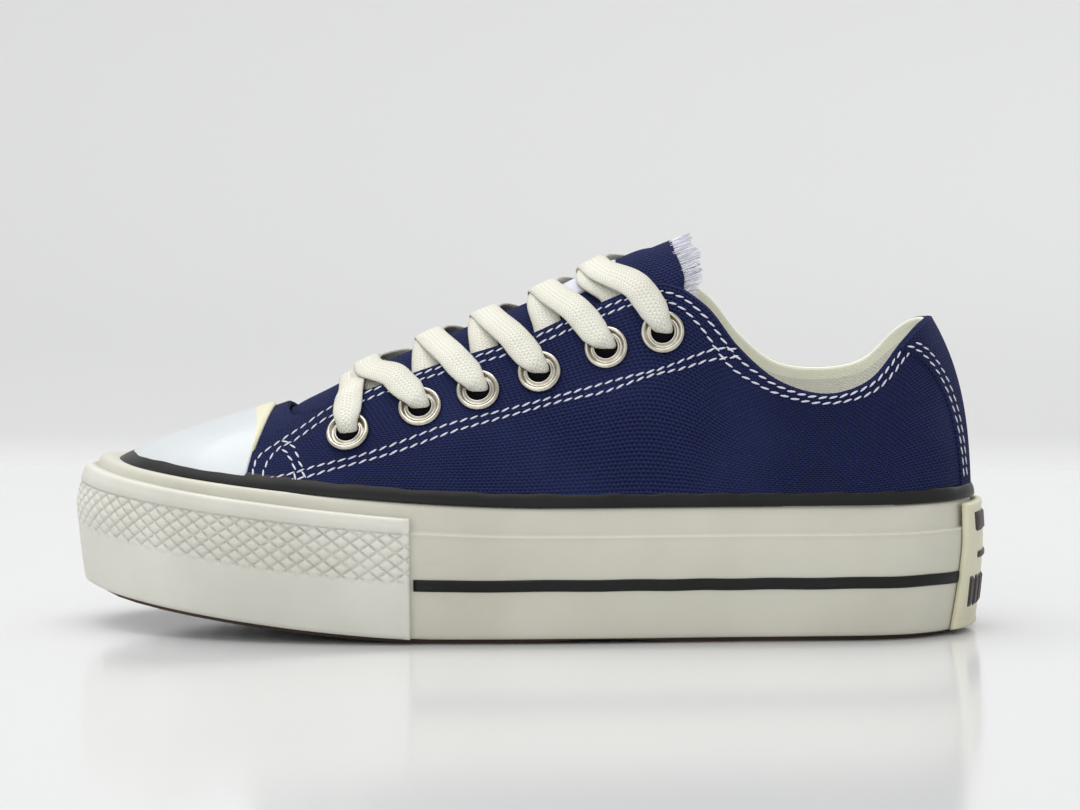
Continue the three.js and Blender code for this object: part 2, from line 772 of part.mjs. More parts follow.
// Heel strip: a shell on the back of the upper, wider at its top
function makeHeelStrip() {
  const surface = (distance) => (i, j) => {
    const low = pipingEdge(0) + 2 * edgeStep;
    const share = THREE.MathUtils.lerp(low, 1, i / stripRows);
    const half = THREE.MathUtils.lerp(stripHalfBottom, stripHalfTop, share);
    let station = 0;
    while (-upperPoint(station, share).y < half) {
      station += edgeStep;
    }
    return upperOffset(station * (2 * (j / stripCrosses) - 1), share, distance);
  };
  return shell(stripRows, stripCrosses, surface(clearance + stripThickness), surface(clearance));
}

const domeRows = [
  { across: 0.25, height: 0.78 },
  { across: 0.5, height: 1 },
  { across: 0.75, height: 0.78 },
];

// Tongue: lies under the throat's edges, rises to a crown between them and runs past the top corner
function tongueLine(station, depth) {
  const other = loopStations - station;
  const closing = THREE.MathUtils.smoothstep(station, throatEnd.from, throatEnd.to);
  const space = THREE.MathUtils.lerp(laceSpace, clearance, closing);
  const under = (at, distance) => upperOffset(at, shareBelowEdge(at, distance), -wall - space - depth);
  const side = (at) => [under(at, tongueTuck), under(at, tongueTuck / 2), under(at, 0)];
  const outer = side(station);
  const inner = side(other);
  const crown = tongueCrown * around(station, (row) => row.crown);
  const dome = domeRows.map(({ across, height }) => (
    outer[2].clone().lerp(inner[2], across).addScaledVector(tongueRise, height * crown)
  ));
  return new THREE.CatmullRomCurve3([...outer, ...dome, ...inner.reverse()], false, "centripetal");
}

function tonguePoint(station, across, depth = 0) {
  if (station >= throatTop) {
    return tongueLine(station, depth).getPoint(across);
  }
  const past = (throatTop - station) * tongueEnd;
  const point = tongueLine(throatTop, depth).getPoint(across);
  point.addScaledVector(tongueAlong, past);
  point.y *= 1 - (tongueNarrowing * past) / tongueEnd;
  return point;
}

function makeTongue() {
  const step = 1 / stepsPerStation;
  const stations = [];
  for (let station = lastSection - step; station > throatTop; station -= step) {
    stations.push(station);
  }
  stations.push(throatTop, throatTop - step, throatTop - 1);
  const surface = (depth) => (i, j) => tonguePoint(stations[i], j / tongueCrosses, depth);
  return shell(stations.length - 1, tongueCrosses, surface(0), surface(tongueThickness));
}

function tongueOffset(station, across, distance) {
  const reach = 3 * edgeStep;
  const low = tonguePoint(station, Math.max(0, across - reach));
  const high = tonguePoint(station, Math.min(1, across + reach));
  const along = tonguePoint(station - reach, across).sub(tonguePoint(station + reach, across));
  const normal = high.sub(low).cross(along).normalize().negate();
  return { point: tonguePoint(station, across).addScaledVector(normal, distance), normal };
}

// Tongue label: a bare patch near the tongue's end
function makeTonguePatch() {
  const spans = 4;
  const crosses = 4;
  const corner = tonguePoint(throatTop, 0.5);
  const perStation = corner.distanceTo(tonguePoint(throatTop + 1, 0.5));
  const perShare = 5 * tonguePoint(throatTop, 0.4).distanceTo(tonguePoint(throatTop, 0.6));
  const shareAcross = patchWidth / perShare;
  const from = throatTop + (patchSetback + patchLength) / perStation;
  const to = throatTop + patchSetback / perStation;
  const surface = (distance) => (i, j) => {
    const station = THREE.MathUtils.lerp(from, to, i / spans);
    return tongueOffset(station, 0.5 + shareAcross * (j / crosses - 0.5), distance).point;
  };
  return shell(spans, crosses, surface(2 * clearance + patchThickness), surface(2 * clearance));
}

// A flat strap through a list of places, each a point and the direction it faces.
// It is gathered where it goes into an eyelet.
function strap(places, spans) {
  const line = new THREE.CatmullRomCurve3(places.map(({ point }) => point), false, "centripetal");
  const faces = new THREE.CatmullRomCurve3(places.map(({ normal }) => normal), false, "catmullrom");
  const widthAt = (t) => {
    const place = Math.min(t * (places.length - 1), places.length - 1 - edgeStep);
    const widths = places.map(({ gathered }) => (gathered ? laceGather : 1) * laceWidth);
    const first = Math.floor(place);
    return THREE.MathUtils.lerp(widths[first], widths[first + 1], place - first);
  };
  const surface = (side) => (i, j) => {
    const t = i / spans;
    const travel = line.getTangent(t);
    const width = travel.clone().cross(faces.getPoint(t)).normalize();
    const normal = width.clone().cross(travel).normalize();
    return line.getPoint(t).addScaledVector(width, widthAt(t) * (j - 0.5))
      .addScaledVector(normal, side * laceThickness / 2);
  };
  return shell(spans, 1, surface(1), surface(-1));
}

const laceLift = clearance + laceThickness / 2;
const tongueCover = 3 * clearance + patchThickness;
const flangeLift = 3 * clearance + eyeletDome + laceLift;

function overTongue(station, across, layer) {
  const lift = tongueCover + laceLift + layer * (laceThickness + clearance);
  return tongueOffset(station, across, lift);
}

function overEyestay(station, distance, lift) {
  const share = shareBelowEdge(station, distance);
  return { point: upperOffset(station, share, lift), normal: upperNormal(station, share) };
}

const edgeLift = laceLift + clearance;
const flangeStart = 0.4;

function overSide(place, from) {
  const mid = THREE.MathUtils.lerp(from, place.station, flangeStart);
  return [
    overEyestay(from, 0, edgeLift + laceRise),
    overEyestay(mid, flangeStart * place.setback, flangeLift),
    { ...overEyestay(place.station, place.setback - laceStop, flangeLift), gathered: true },
  ];
}

const barRows = [
  { across: 0.34, layer: 0.9 },
  { across: 0.5, layer: 0 },
  { across: 0.66, layer: 0.9 },
];

// Shares of the way to the next pair of eyelets: the peak of the first crossing, how much
// sooner each next one peaks, and where they pass the throat's edge.
const firstPeak = 0.3;
const peakShift = 0.09;
const crossingEdge = 0.54;

// before: how far before the peak. layer: height over the tongue in straps.
const crossingRows = [
  { before: 0.2, across: 0.38, layer: 0.5 },
  { before: 0.13, across: 0.5, layer: 1 },
];
const crossingTop = { across: 0.64, layer: 1.2 };
const hiddenEnd = [
  { along: 0.03, across: 0.215 },
  { along: 0.05, across: 0.27 },
];

// The bar over the first pair of eyelets
function makeLaceBar() {
  const outer = eyeletPlace(1, false);
  const inner = eyeletPlace(1, true);
  const { station } = outer;
  return strap([
    ...overSide(outer, station).reverse(),
    ...barRows.map(({ across, layer }) => overTongue(station, across, layer)),
    ...overSide(inner, inner.station),
  ], laceSpans + 4);
}

// A crossing: one strap goes up over each throat edge, and the other ends come from under it
function crossingStrap(number, toInner, layer) {
  const from = eyeletPlace(number, !toInner);
  const to = eyeletPlace(number + 1, toInner);
  const start = Math.min(from.station, loopStations - from.station);
  const end = Math.min(to.station, loopStations - to.station);
  const room = number === 1 ? barRoom : 0;
  const at = (share) => THREE.MathUtils.lerp(start, end, room + (1 - room) * share);
  const across = (share) => (toInner ? share : 1 - share);
  const edge = toInner ? loopStations - at(crossingEdge) : at(crossingEdge);
  const peak = firstPeak - peakShift * (number - 1);
  return strap([
    ...hiddenEnd.map((row, k) => (
      tongueOffset(at(row.along), across(row.across), laceLift + (0.5 + 0.5 * k) * clearance)
    )),
    ...crossingRows.map((row) => overTongue(at(peak - row.before), across(row.across), row.layer * layer)),
    overTongue(at(peak), across(crossingTop.across), crossingTop.layer),
    ...overSide(to, edge),
  ], laceSpans);
}

function makeCrossing(number) {
  const upperStrap = toSolid(crossingStrap(number, false, 1));
  const lowerStrap = toSolid(crossingStrap(number, true, 0.5));
  return toGeometry(upperStrap.add(lowerStrap));
}

addPiece("outsole", makeOutsole(), rubberBrown, 0.8);
addPiece("midsole", makeMidsole(), rubberCream, 0.8);
addPiece("foxing", makeFoxing(), rubberCream, 0.5);
addPiece("piping", makePiping(), rubberBlack, 0.4);
addPiece("side_stripe", makeStripe(), rubberBlack, 0.4);
addPiece("toe_bumper", makeBumper(), rubberCream, 0.5);
addPiece("heel_label", makeHeelLabel(), rubberCream, 0.5);
addPiece("insole", makeInsole(), liningCream, 0.9);
addPiece("upper", makeUpper(), canvasNavy, 0.95);
addPiece("toe_cap", makeToeCap(), capWhite, 0.35);
addPiece("heel_strip", makeHeelStrip(), canvasNavy, 0.95);
addPiece("tongue", makeTongue(), canvasNavy, 0.95);
addPiece("tongue_label", makeTonguePatch(), capWhite, 0.8);
for (let number = 1; number <= eyeletCount; number += 1) {
  addPiece(`eyelet_outer_${number}`, makeEyelet(number, false), eyeletMetal, 0.3, 1);
  addPiece(`eyelet_inner_${number}`, makeEyelet(number, true), eyeletMetal, 0.3, 1);
}
addPiece("lace_bar", makeLaceBar(), laceCream, 0.9);
for (let number = 1; number < eyeletCount; number += 1) {
  addPiece(`lace_cross_${number}`, makeCrossing(number), laceCream, 0.9);
}

// The origin is the middle of the footprint's box, at the floor
const box = new THREE.Box3().setFromObject(shoe);
shoe.position.set(-(box.min.x + box.max.x) / 2, -(box.min.y + box.max.y) / 2, -box.min.z);

export default shoe;
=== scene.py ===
import math
import random

import bmesh
import bpy
import numpy as np
from mathutils import Matrix, Vector


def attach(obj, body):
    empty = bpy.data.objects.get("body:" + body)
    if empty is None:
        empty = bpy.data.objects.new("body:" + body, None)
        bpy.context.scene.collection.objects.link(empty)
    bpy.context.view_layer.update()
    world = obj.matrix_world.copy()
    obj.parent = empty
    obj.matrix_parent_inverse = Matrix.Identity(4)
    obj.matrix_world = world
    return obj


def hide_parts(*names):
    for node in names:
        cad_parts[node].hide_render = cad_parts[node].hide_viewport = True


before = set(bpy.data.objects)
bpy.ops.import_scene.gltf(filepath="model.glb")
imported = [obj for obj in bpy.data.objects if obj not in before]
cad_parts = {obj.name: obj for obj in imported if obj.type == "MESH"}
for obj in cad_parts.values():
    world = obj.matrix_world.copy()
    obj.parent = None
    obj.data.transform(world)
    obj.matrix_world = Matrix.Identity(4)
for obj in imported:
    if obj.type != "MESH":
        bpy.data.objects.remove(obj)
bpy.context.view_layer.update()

print("frame loaded")

# A low canvas sneaker, the left one. The toe points along -X and the outer side faces -Y.
# Sizes are in millimetres here and become metres when a mesh is made.
metre = 0.001

# ---- camera ----

photoView = {
    "target": (3.65, 0, 65.1), "distance": 1400, "pitch": 4.9, "yaw": 2, "lens": 158.3,
}


def newObject(name, data):
    made = bpy.data.objects.new(name, data)
    bpy.context.scene.collection.objects.link(made)
    return made


def placeCamera():
    pitch, yaw = math.radians(photoView["pitch"]), math.radians(photoView["yaw"])
    target = Vector(photoView["target"]) * metre
    away = Vector((math.sin(yaw) * math.cos(pitch), -math.cos(yaw) * math.cos(pitch), math.sin(pitch)))
    lens = bpy.data.cameras.new("photoCamera")
    lens.lens = photoView["lens"]
    lens.clip_start, lens.clip_end = 0.05, 40
    camera = newObject("photoCamera", lens)
    camera.location = target + away * photoView["distance"] * metre
    camera.rotation_euler = (-away).to_track_quat("-Z", "Y").to_euler()
    bpy.context.scene.camera = camera


placeCamera()


# ---- materials ----

def newMaterial(name):
    material = bpy.data.materials.new(name)
    material.use_nodes = True
    nodes = material.node_tree.nodes
    return material, nodes, material.node_tree.links, nodes["Principled BSDF"]


def setSockets(node, **values):
    for name, value in values.items():
        node.inputs[name].default_value = value


def addNode(nodes, kind, **values):
    node = nodes.new("ShaderNode" + kind)
    for name, value in values.items():
        setattr(node, name, value)
    return node


def mathNode(nodes, links, operation, first, second=None, third=None):
    node = addNode(nodes, "Math", operation=operation)
    for socket, value in zip(node.inputs, (first, second, third)):
        if value is None:
            continue
        if isinstance(value, (int, float)):
            socket.default_value = value
        else:
            links.new(value, socket)
    return node.outputs[0]


def mixColor(nodes, links, share, first, second):
    node = addNode(nodes, "Mix", data_type="RGBA")
    for socket, value in zip((node.inputs[0], node.inputs[6], node.inputs[7]), (share, first, second)):
        if isinstance(value, tuple):
            socket.default_value = (*value, 1)
        elif isinstance(value, (int, float)):
            socket.default_value = value
        else:
            links.new(value, socket)
    return node.outputs[2]


def noiseValue(nodes, links, vector, scale, detail=3, roughness=0.55):
    noise = addNode(nodes, "TexNoise")
    setSockets(noise, Scale=scale, Detail=detail, Roughness=roughness)
    links.new(vector, noise.inputs["Vector"])
    return noise.outputs["Fac"]


def rampValue(nodes, links, value, low, high):
    node = addNode(nodes, "MapRange", interpolation_type="SMOOTHSTEP")
    links.new(value, node.inputs["Value"])
    setSockets(node, **{"From Min": low, "From Max": high})
    return node.outputs["Result"]


def addBump(nodes, links, shader, height, distance, strength=1):
    bump = addNode(nodes, "Bump")
    setSockets(bump, Strength=strength, Distance=distance)
    links.new(height, bump.inputs["Height"])
    links.new(bump.outputs["Normal"], shader.inputs["Normal"])


# Cloth woven from two sets of threads. Its UV map is in millimetres.
def wovenCloth(name, look):
    material, nodes, links, shader = newMaterial(name)
    place = addNode(nodes, "UVMap", uv_map="surface").outputs["UV"]
    shape = addNode(nodes, "TexCoord").outputs["Object"]
    wobble = addNode(nodes, "TexNoise", noise_dimensions="2D")
    setSockets(wobble, Scale=0.35, Detail=2)
    links.new(place, wobble.inputs["Vector"])
    moved = addNode(nodes, "VectorMath", operation="MULTIPLY_ADD")
    links.new(wobble.outputs["Color"], moved.inputs[0])
    moved.inputs[1].default_value = (look["wobble"],) * 3
    links.new(place, moved.inputs[2])
    parts = addNode(nodes, "SeparateXYZ")
    links.new(moved.outputs[0], parts.inputs[0])
    warp, weft = parts.outputs[0], parts.outputs[1]

    def threads(value, pitch, shift=0.0):
        turns = mathNode(nodes, links, "MULTIPLY_ADD", value, 2 * math.pi / pitch, shift)
        return mathNode(nodes, links, "SINE", turns)

    warpWave, weftWave = threads(warp, look["warp"]), threads(weft, look["weft"])
    over = mathNode(nodes, links, "MULTIPLY",
                    threads(warp, 2 * look["warp"]), threads(weft, 2 * look["weft"]))
    high = mathNode(nodes, links, "MULTIPLY_ADD", over, look["over"], 0.0)
    ribs = mathNode(nodes, links, "MULTIPLY_ADD", weftWave, look["rib"], high)
    height = mathNode(nodes, links, "MULTIPLY_ADD", warpWave, 0.25, ribs)
    slub = noiseValue(nodes, links, moved.outputs[0], look["slub"], 2)
    patchy = noiseValue(nodes, links, shape, 28, 3)
    fleck = rampValue(nodes, links, noiseValue(nodes, links, shape, 1900, 1), 0.62, 0.78)
    # Raised threads lighter and the weave's hollows darker: painted shade in the hollows of the weave
    raised = mathNode(nodes, links, "MULTIPLY_ADD", height, 0.5, 0.5)
    weaveShadedColor = mixColor(nodes, links, raised, look["deep"], look["top"])
    faded = mathNode(nodes, links, "MULTIPLY", rampValue(nodes, links, patchy, 0.4, 0.75), look["fade"])
    cloth = mixColor(nodes, links, faded, weaveShadedColor, look["faded"])
    speck = mathNode(nodes, links, "MULTIPLY", fleck, look["fleck"])
    links.new(mixColor(nodes, links, speck, cloth, look["pale"]), shader.inputs["Base Color"])
    rough = mathNode(nodes, links, "MULTIPLY_ADD", slub, 0.12, look["rough"])
    links.new(rough, shader.inputs["Roughness"])
    setSockets(shader, **{"Sheen Weight": look["sheen"], "Sheen Roughness": 0.45,
                          "Specular IOR Level": 0.12, "Sheen Tint": (*look["sheenTint"], 1)})
    total = mathNode(nodes, links, "MULTIPLY_ADD", slub, 0.6, height)
    addBump(nodes, links, shader, total, look["depth"] * metre)
    return material


# In these cloth looks deep is the weave's hollows darkened as painted shade, and top is the raised threads
canvasLook = {
    "warp": 0.7, "weft": 0.85, "over": 0.6, "rib": 0.6, "slub": 0.7, "wobble": 0.3, "depth": 0.16,
    "deep": (0.0012, 0.002, 0.011), "top": (0.02, 0.029, 0.11), "faded": (0.026, 0.034, 0.11),
    "pale": (0.12, 0.13, 0.26), "fade": 0.35, "fleck": 0.16, "rough": 0.85,
    "sheen": 0.02, "sheenTint": (0.6, 0.65, 0.9),
}
liningLook = {
    **canvasLook, "deep": (0.62, 0.62, 0.55), "top": (0.84, 0.84, 0.77), "faded": (0.86, 0.86, 0.8),
    "pale": (0.93, 0.93, 0.87), "sheen": 0.08, "warp": 0.62, "weft": 0.68,
    "sheenTint": (1, 0.98, 0.9), "depth": 0.045,
}
bindingLook = {
    **liningLook, "deep": (0.85, 0.85, 0.7), "top": (0.95, 0.95, 0.82), "faded": (0.96, 0.96, 0.85),
    "depth": 0.03,
}
patchLook = {
    **liningLook, "deep": (0.6, 0.62, 0.68), "top": (0.8, 0.82, 0.88), "faded": (0.84, 0.85, 0.9),
    "warp": 0.3, "weft": 0.3,
}
laceLook = {
    **liningLook, "deep": (0.55, 0.54, 0.45), "top": (0.83, 0.82, 0.74), "faded": (0.86, 0.85, 0.77),
    "warp": 0.62, "weft": 0.4, "over": 0.8, "rib": 0.35, "depth": 0.1, "rough": 0.72, "sheen": 0.15,
}
canvasCloth = wovenCloth("navyCanvas", canvasLook)
liningCloth = wovenCloth("creamLining", liningLook)
bindingCloth = wovenCloth("creamBinding", bindingLook)
patchCloth = wovenCloth("bareWhitePatch", patchLook)
laceCloth = wovenCloth("creamLace", laceLook)


# Moulded rubber: faint mottling, dust and scuff streaks, fine pitting and a soft gloss
def rubber(name, look):
    material, nodes, links, shader = newMaterial(name)
    shape = addNode(nodes, "TexCoord").outputs["Object"]
    cloud = noiseValue(nodes, links, shape, look["cloud"], 4)
    grain = noiseValue(nodes, links, shape, look["grain"], 3)
    scuffs = addNode(nodes, "Mapping")
    scuffs.inputs["Scale"].default_value = (1, 1, 6)
    links.new(shape, scuffs.inputs["Vector"])
    scuff = rampValue(nodes, links, noiseValue(nodes, links, scuffs.outputs[0], 75, 6, 0.7), 0.62, 0.72)
    base = mixColor(nodes, links, rampValue(nodes, links, cloud, 0.3, 0.7), look["deep"], look["top"])
    marks = mathNode(nodes, links, "MULTIPLY", scuff, look["marks"])
    links.new(mixColor(nodes, links, marks, base, look["markColor"]), shader.inputs["Base Color"])
    rough = mathNode(nodes, links, "MULTIPLY_ADD", grain, look["roughSpread"], look["rough"])
    links.new(mathNode(nodes, links, "MULTIPLY_ADD", scuff, 0.1, rough), shader.inputs["Roughness"])
    setSockets(shader, **{"Specular IOR Level": look["specular"], "Coat Weight": look["coat"],
                          "Coat Roughness": look["coatRough"], "Subsurface Weight": look["glow"],
                          "Subsurface Radius": (0.003, 0.0025, 0.0018), "Subsurface Scale": 0.6})
    addBump(nodes, links, shader, grain, look["depth"] * metre)
    return material


creamLook = {
    "deep": (0.54, 0.525, 0.44), "top": (0.62, 0.607, 0.52), "cloud": 18, "grain": 700, "marks": 0.12,
    "markColor": (0.42, 0.4, 0.33), "rough": 0.36, "roughSpread": 0.14, "specular": 0.45,
    "coat": 0, "coatRough": 0.3, "glow": 0.05, "depth": 0.02,
}
capLook = {
    **creamLook, "deep": (0.53, 0.567, 0.59), "top": (0.6, 0.635, 0.652), "marks": 0.05, "rough": 0.3,
    "roughSpread": 0.08, "coat": 0.15, "coatRough": 0.12, "depth": 0.008,
}
bumperRubberLook = {**creamLook, "deep": (0.6, 0.592, 0.525), "top": (0.7, 0.692, 0.625)}
patchRubberLook = {
    **creamLook, "deep": (0.62, 0.59, 0.42), "top": (0.72, 0.69, 0.52),
}
blackLook = {
    **creamLook, "deep": (0.006, 0.006, 0.006), "top": (0.012, 0.012, 0.012), "marks": 0.25,
    "markColor": (0.06, 0.06, 0.06), "rough": 0.3, "specular": 0.2, "glow": 0, "depth": 0.03, "grain": 420,
}
treadLook = {
    **creamLook, "deep": (0.035, 0.018, 0.011), "top": (0.085, 0.042, 0.025), "marks": 0.3,
    "markColor": (0.16, 0.12, 0.09), "rough": 0.5, "glow": 0, "depth": 0.05,
}
barLook = {
    **creamLook, "deep": (0.03, 0.022, 0.02), "top": (0.05, 0.038, 0.034), "glow": 0, "rough": 0.42,
}
creamRubber = rubber("creamRubber", creamLook)
bumperRubber = rubber("paleBumperRubber", bumperRubberLook)
capRubber = rubber("whiteCapRubber", capLook)
labelRubber = rubber("yellowedRubber", patchRubberLook)
blackRubber = rubber("blackRubber", blackLook)
treadRubber = rubber("brownRubber", treadLook)
barRubber = rubber("darkBarRubber", barLook)


def threadMaterial(name, deep, top):
    material, nodes, links, shader = newMaterial(name)
    shape = addNode(nodes, "TexCoord").outputs["Object"]
    twist = noiseValue(nodes, links, shape, 2600, 2)
    links.new(mixColor(nodes, links, twist, deep, top), shader.inputs["Base Color"])
    setSockets(shader, Roughness=0.65, **{"Sheen Weight": 0.2})
    addBump(nodes, links, shader, twist, 0.05 * metre)
    return material


stitchThread = threadMaterial("paleThread", (0.5, 0.51, 0.6), (0.76, 0.77, 0.84))
fringeThread = threadMaterial("frayedThread", (0.42, 0.43, 0.55), (0.88, 0.88, 0.93))


def metal(name, deep, top, rough):
    material, nodes, links, shader = newMaterial(name)
    shape = addNode(nodes, "TexCoord").outputs["Object"]
    dull = noiseValue(nodes, links, shape, 240, 4)
    fine = noiseValue(nodes, links, shape, 900, 2)
    dulled = rampValue(nodes, links, dull, 0.35, 0.7)
    links.new(mixColor(nodes, links, dulled, deep, top), shader.inputs["Base Color"])
    links.new(mathNode(nodes, links, "MULTIPLY_ADD", dull, 0.2, rough), shader.inputs["Roughness"])
    setSockets(shader, Metallic=1)
    addBump(nodes, links, shader, fine, 0.003 * metre)
    return material


nickel = metal("warmNickel", (0.42, 0.395, 0.33), (0.58, 0.55, 0.475), 0.1)


def shadeMaterial():
    material, nodes, links, shader = newMaterial("shadeInHole")
    cloud = noiseValue(nodes, links, addNode(nodes, "TexCoord").outputs["Object"], 300)
    dark = mixColor(nodes, links, cloud, (0.002, 0.002, 0.003), (0.007, 0.007, 0.009))
    links.new(dark, shader.inputs["Base Color"])
    setSockets(shader, Roughness=0.95, **{"Specular IOR Level": 0.05})
    return material


holeShade = shadeMaterial()
print("materials made")

# ---- the last's and the sole's surfaces ----

sizes = {
    "soleLength": 264.5, "soleBallWidth": 99, "soleHeight": 39.5, "toeSpring": 11.4, "springReach": 107,
    "toeLift": 10.4, "liftReach": 138, "soleTaper": 2.4, "toeShoulder": 3.4, "shoulderInset": 1,
    "tapeStep": 1.1, "tapeStepHeight": 31.3, "outsoleInset": 6, "outsoleStandOut": 1.5,
    "lastLength": 247.3, "lastBallWidth": 91.6, "heelInset": 2.6, "heelHeight": 52.4, "instepHeight": 63.5,
    "wall": 2, "margin": 17, "bedHeight": 24.6, "heelLift": 2.5, "insoleThickness": 3.5, "edgeHold": 0.36,
}

# Each row is a section through the foot, from the back of the heel to the tip of the toe.
# Sole, foot and edge give a share of the length and of half the ball's width on the outer and inner side.
sectionColumns = (
    "soleAlong", "soleOuter", "soleInner", "footAlong", "footOuter", "footInner", "edgeAlong", "edgeOuter",
    "edgeInner", "instep", "heel", "lift", "start", "end", "hold", "crown",
)
sectionRows = (
    (0, 0, 0, 0, 0, 0, 0.05, 0, 0, 0, 1, 0, 0.15, 2.4, 0.36, 0),
    (0.02, -0.38, 0.38, 0.023, -0.38, 0.38, 0.063, -0.34, 0.34, 0, 0.97, 0, 0.2, 2.3, 0.36, 0),
    (0.06, -0.615, 0.615, 0.065, -0.61, 0.61, 0.085, -0.53, 0.54, 0, 0.872, 0.01, 0.5, 2, 0.36, 0),
    (0.11, -0.727, 0.727, 0.115, -0.725, 0.725, 0.121, -0.666, 0.662, 0, 0.683, 0.03, 0.9, 1.2, 0.36, 0),
    (0.168, -0.774, 0.764, 0.176, -0.769, 0.76, 0.172, -0.725, 0.71, 0, 0.611, 0.044, 1, 1, 0.36, 0),
    (0.23, -0.808, 0.768, 0.24, -0.803, 0.76, 0.228, -0.738, 0.72, 0, 0.686, 0.01, 1, 1, 0.36, 0),
    (0.281, -0.838, 0.758, 0.293, -0.834, 0.747, 0.274, -0.71, 0.694, 0.18, 0.65, 0, 0.8, 1.3, 0.36, 0),
    (0.325, -0.869, 0.747, 0.337, -0.865, 0.738, 0.313, -0.64, 0.618, 0.904, 0, 0, 0.6, 1.5, 0.36, 0.95),
    (0.374, -0.905, 0.752, 0.389, -0.9, 0.738, 0.365, -0.568, 0.535, 1, 0, 0.005, 0.5, 1.5, 0.36, 1),
    (0.433, -0.939, 0.778, 0.45, -0.939, 0.764, 0.442, -0.546, 0.502, 0.901, 0, 0.018, 0.5, 1.5, 0.36, 0.86),
    (0.508, -0.98, 0.838, 0.53, -0.978, 0.83, 0.522, -0.546, 0.491, 0.759, 0, 0.022, 0.52, 1.42, 0.36, 0.86),
    (0.588, -1, 0.919, 0.611, -1, 0.913, 0.611, -0.557, 0.491, 0.646, 0, 0.02, 0.55, 1.42, 0.36, 0.76),
    (0.671, -0.99, 0.984, 0.696, -0.987, 0.974, 0.696, -0.568, 0.513, 0.526, 0, 0.015, 0.56, 1.42, 0.36, 0.7),
    (0.75, -0.946, 0.996, 0.776, -0.934, 0.982, 0.764, -0.524, 0.502, 0.413, 0, 0.008, 0.58, 1.4, 0.36, 0.69),
    (0.833, -0.838, 0.939, 0.857, -0.808, 0.917, 0.796, -0.36, 0.382, 0.381, 0, 0, 0.56, 1.25, 0.28, 0.35),
    (0.909, -0.646, 0.788, 0.925, -0.611, 0.753, 0.806, -0.207, 0.251, 0.403, 0, 0, 0.4, 1.12, 0.2, 0.12),
    (0.97, -0.343, 0.525, 0.978, -0.317, 0.48, 0.808, -0.076, 0.142, 0.416, 0, 0, 0.2, 1.04, 0.12, 0.03),
    (1, 0.1, 0.1, 1, 0.109, 0.109, 0.809, 0.033, 0.033, 0.419, 0, 0, 0.1, 1, 0.085, 0),
)
lastSection = len(sectionRows) - 1
loopStations = 2 * lastSection
soleHeel = sizes["soleLength"] / 2
lastHeel = soleHeel - sizes["heelInset"]
small = 0.01
up = np.array((0.0, 0.0, 1.0))


def loopOf(outerColumn, innerColumn=None):
    outer = sectionColumns.index(outerColumn)
    inner = sectionColumns.index(innerColumn or outerColumn)
    values = [row[outer] for row in sectionRows] + [row[inner] for row in sectionRows[-2:0:-1]]
    return np.array(values, dtype=float)


loops = {name: loopOf(name) for name in sectionColumns}
loops.update({key: loopOf(key + "Outer", key + "Inner") for key in ("sole", "foot", "edge")})
loops["innerLift"] = np.where(np.arange(loopStations) > lastSection, loops["lift"], 0.0)


# A smooth value between the rows, right round the shoe: 0 to 17 is the outer side, on to 34 the inner one
def around(station, name):
    station = np.asarray(station, dtype=float)
    first = np.floor(station).astype(int)
    t = station - first
    a, b, c, d = (loops[name][(first + k) % loopStations] for k in (-1, 0, 1, 2))
    slopeIn, slopeOut = (c - a) / 2, (d - b) / 2
    bend = 2 * b - 2 * c + slopeIn + slopeOut
    turn = 3 * c - 3 * b - 2 * slopeIn - slopeOut
    return ((bend * t + turn) * t + slopeIn) * t + b


def smoothStep(value, low, high):
    share = np.clip((value - low) / (high - low), 0, 1)
    return share * share * (3 - 2 * share)


def rampUp(x, reach):
    return np.clip((reach - sizes["soleLength"] / 2 - x) / reach, 0, None) ** 1.5


def bottomHeight(x):
    return sizes["toeSpring"] * rampUp(x, sizes["springReach"])


def foxingTop(x):
    return sizes["soleHeight"] + sizes["toeLift"] * rampUp(x, sizes["liftReach"])


def bedSurface(x):
    heelShare = smoothStep(x, -0.1 * sizes["soleLength"], 0.25 * sizes["soleLength"])
    return sizes["bedHeight"] + sizes["heelLift"] * heelShare + 1.1 * bottomHeight(x)


def toeShare(x):
    return 1 - smoothStep(x, -0.5 * sizes["soleLength"], -0.34 * sizes["soleLength"])


def points(x, y, z):
    return np.stack(np.broadcast_arrays(x, y, z), axis=-1).astype(float)


def soleLine(station):
    x = soleHeel - sizes["soleLength"] * around(station, "soleAlong")
    return points(x, sizes["soleBallWidth"] / 2 * around(station, "sole"), 0)


def footLine(station):
    x = lastHeel - sizes["lastLength"] * around(station, "footAlong")
    return points(x, sizes["lastBallWidth"] / 2 * around(station, "foot"), foxingTop(x))


def floats(*values):
    return np.broadcast_arrays(*(np.asarray(value, float) for value in values))


def unit(vector):
    return vector / np.linalg.norm(vector, axis=-1, keepdims=True)


def movedOut(line, station, distance):
    before, after = line(station - small), line(station + small)
    outwards = unit(points(before[..., 1] - after[..., 1], after[..., 0] - before[..., 0], 0))
    return line(station) + outwards * np.asarray(distance, dtype=float)[..., None]


def edgeLine(station):
    x = lastHeel - sizes["lastLength"] * around(station, "edgeAlong")
    y = sizes["lastBallWidth"] / 2 * around(station, "edge")
    instep = around(station, "instep") + around(station, "innerLift")
    return points(x, y, sizes["soleHeight"] + sizes["instepHeight"] * instep
                  + sizes["heelHeight"] * around(station, "heel"))


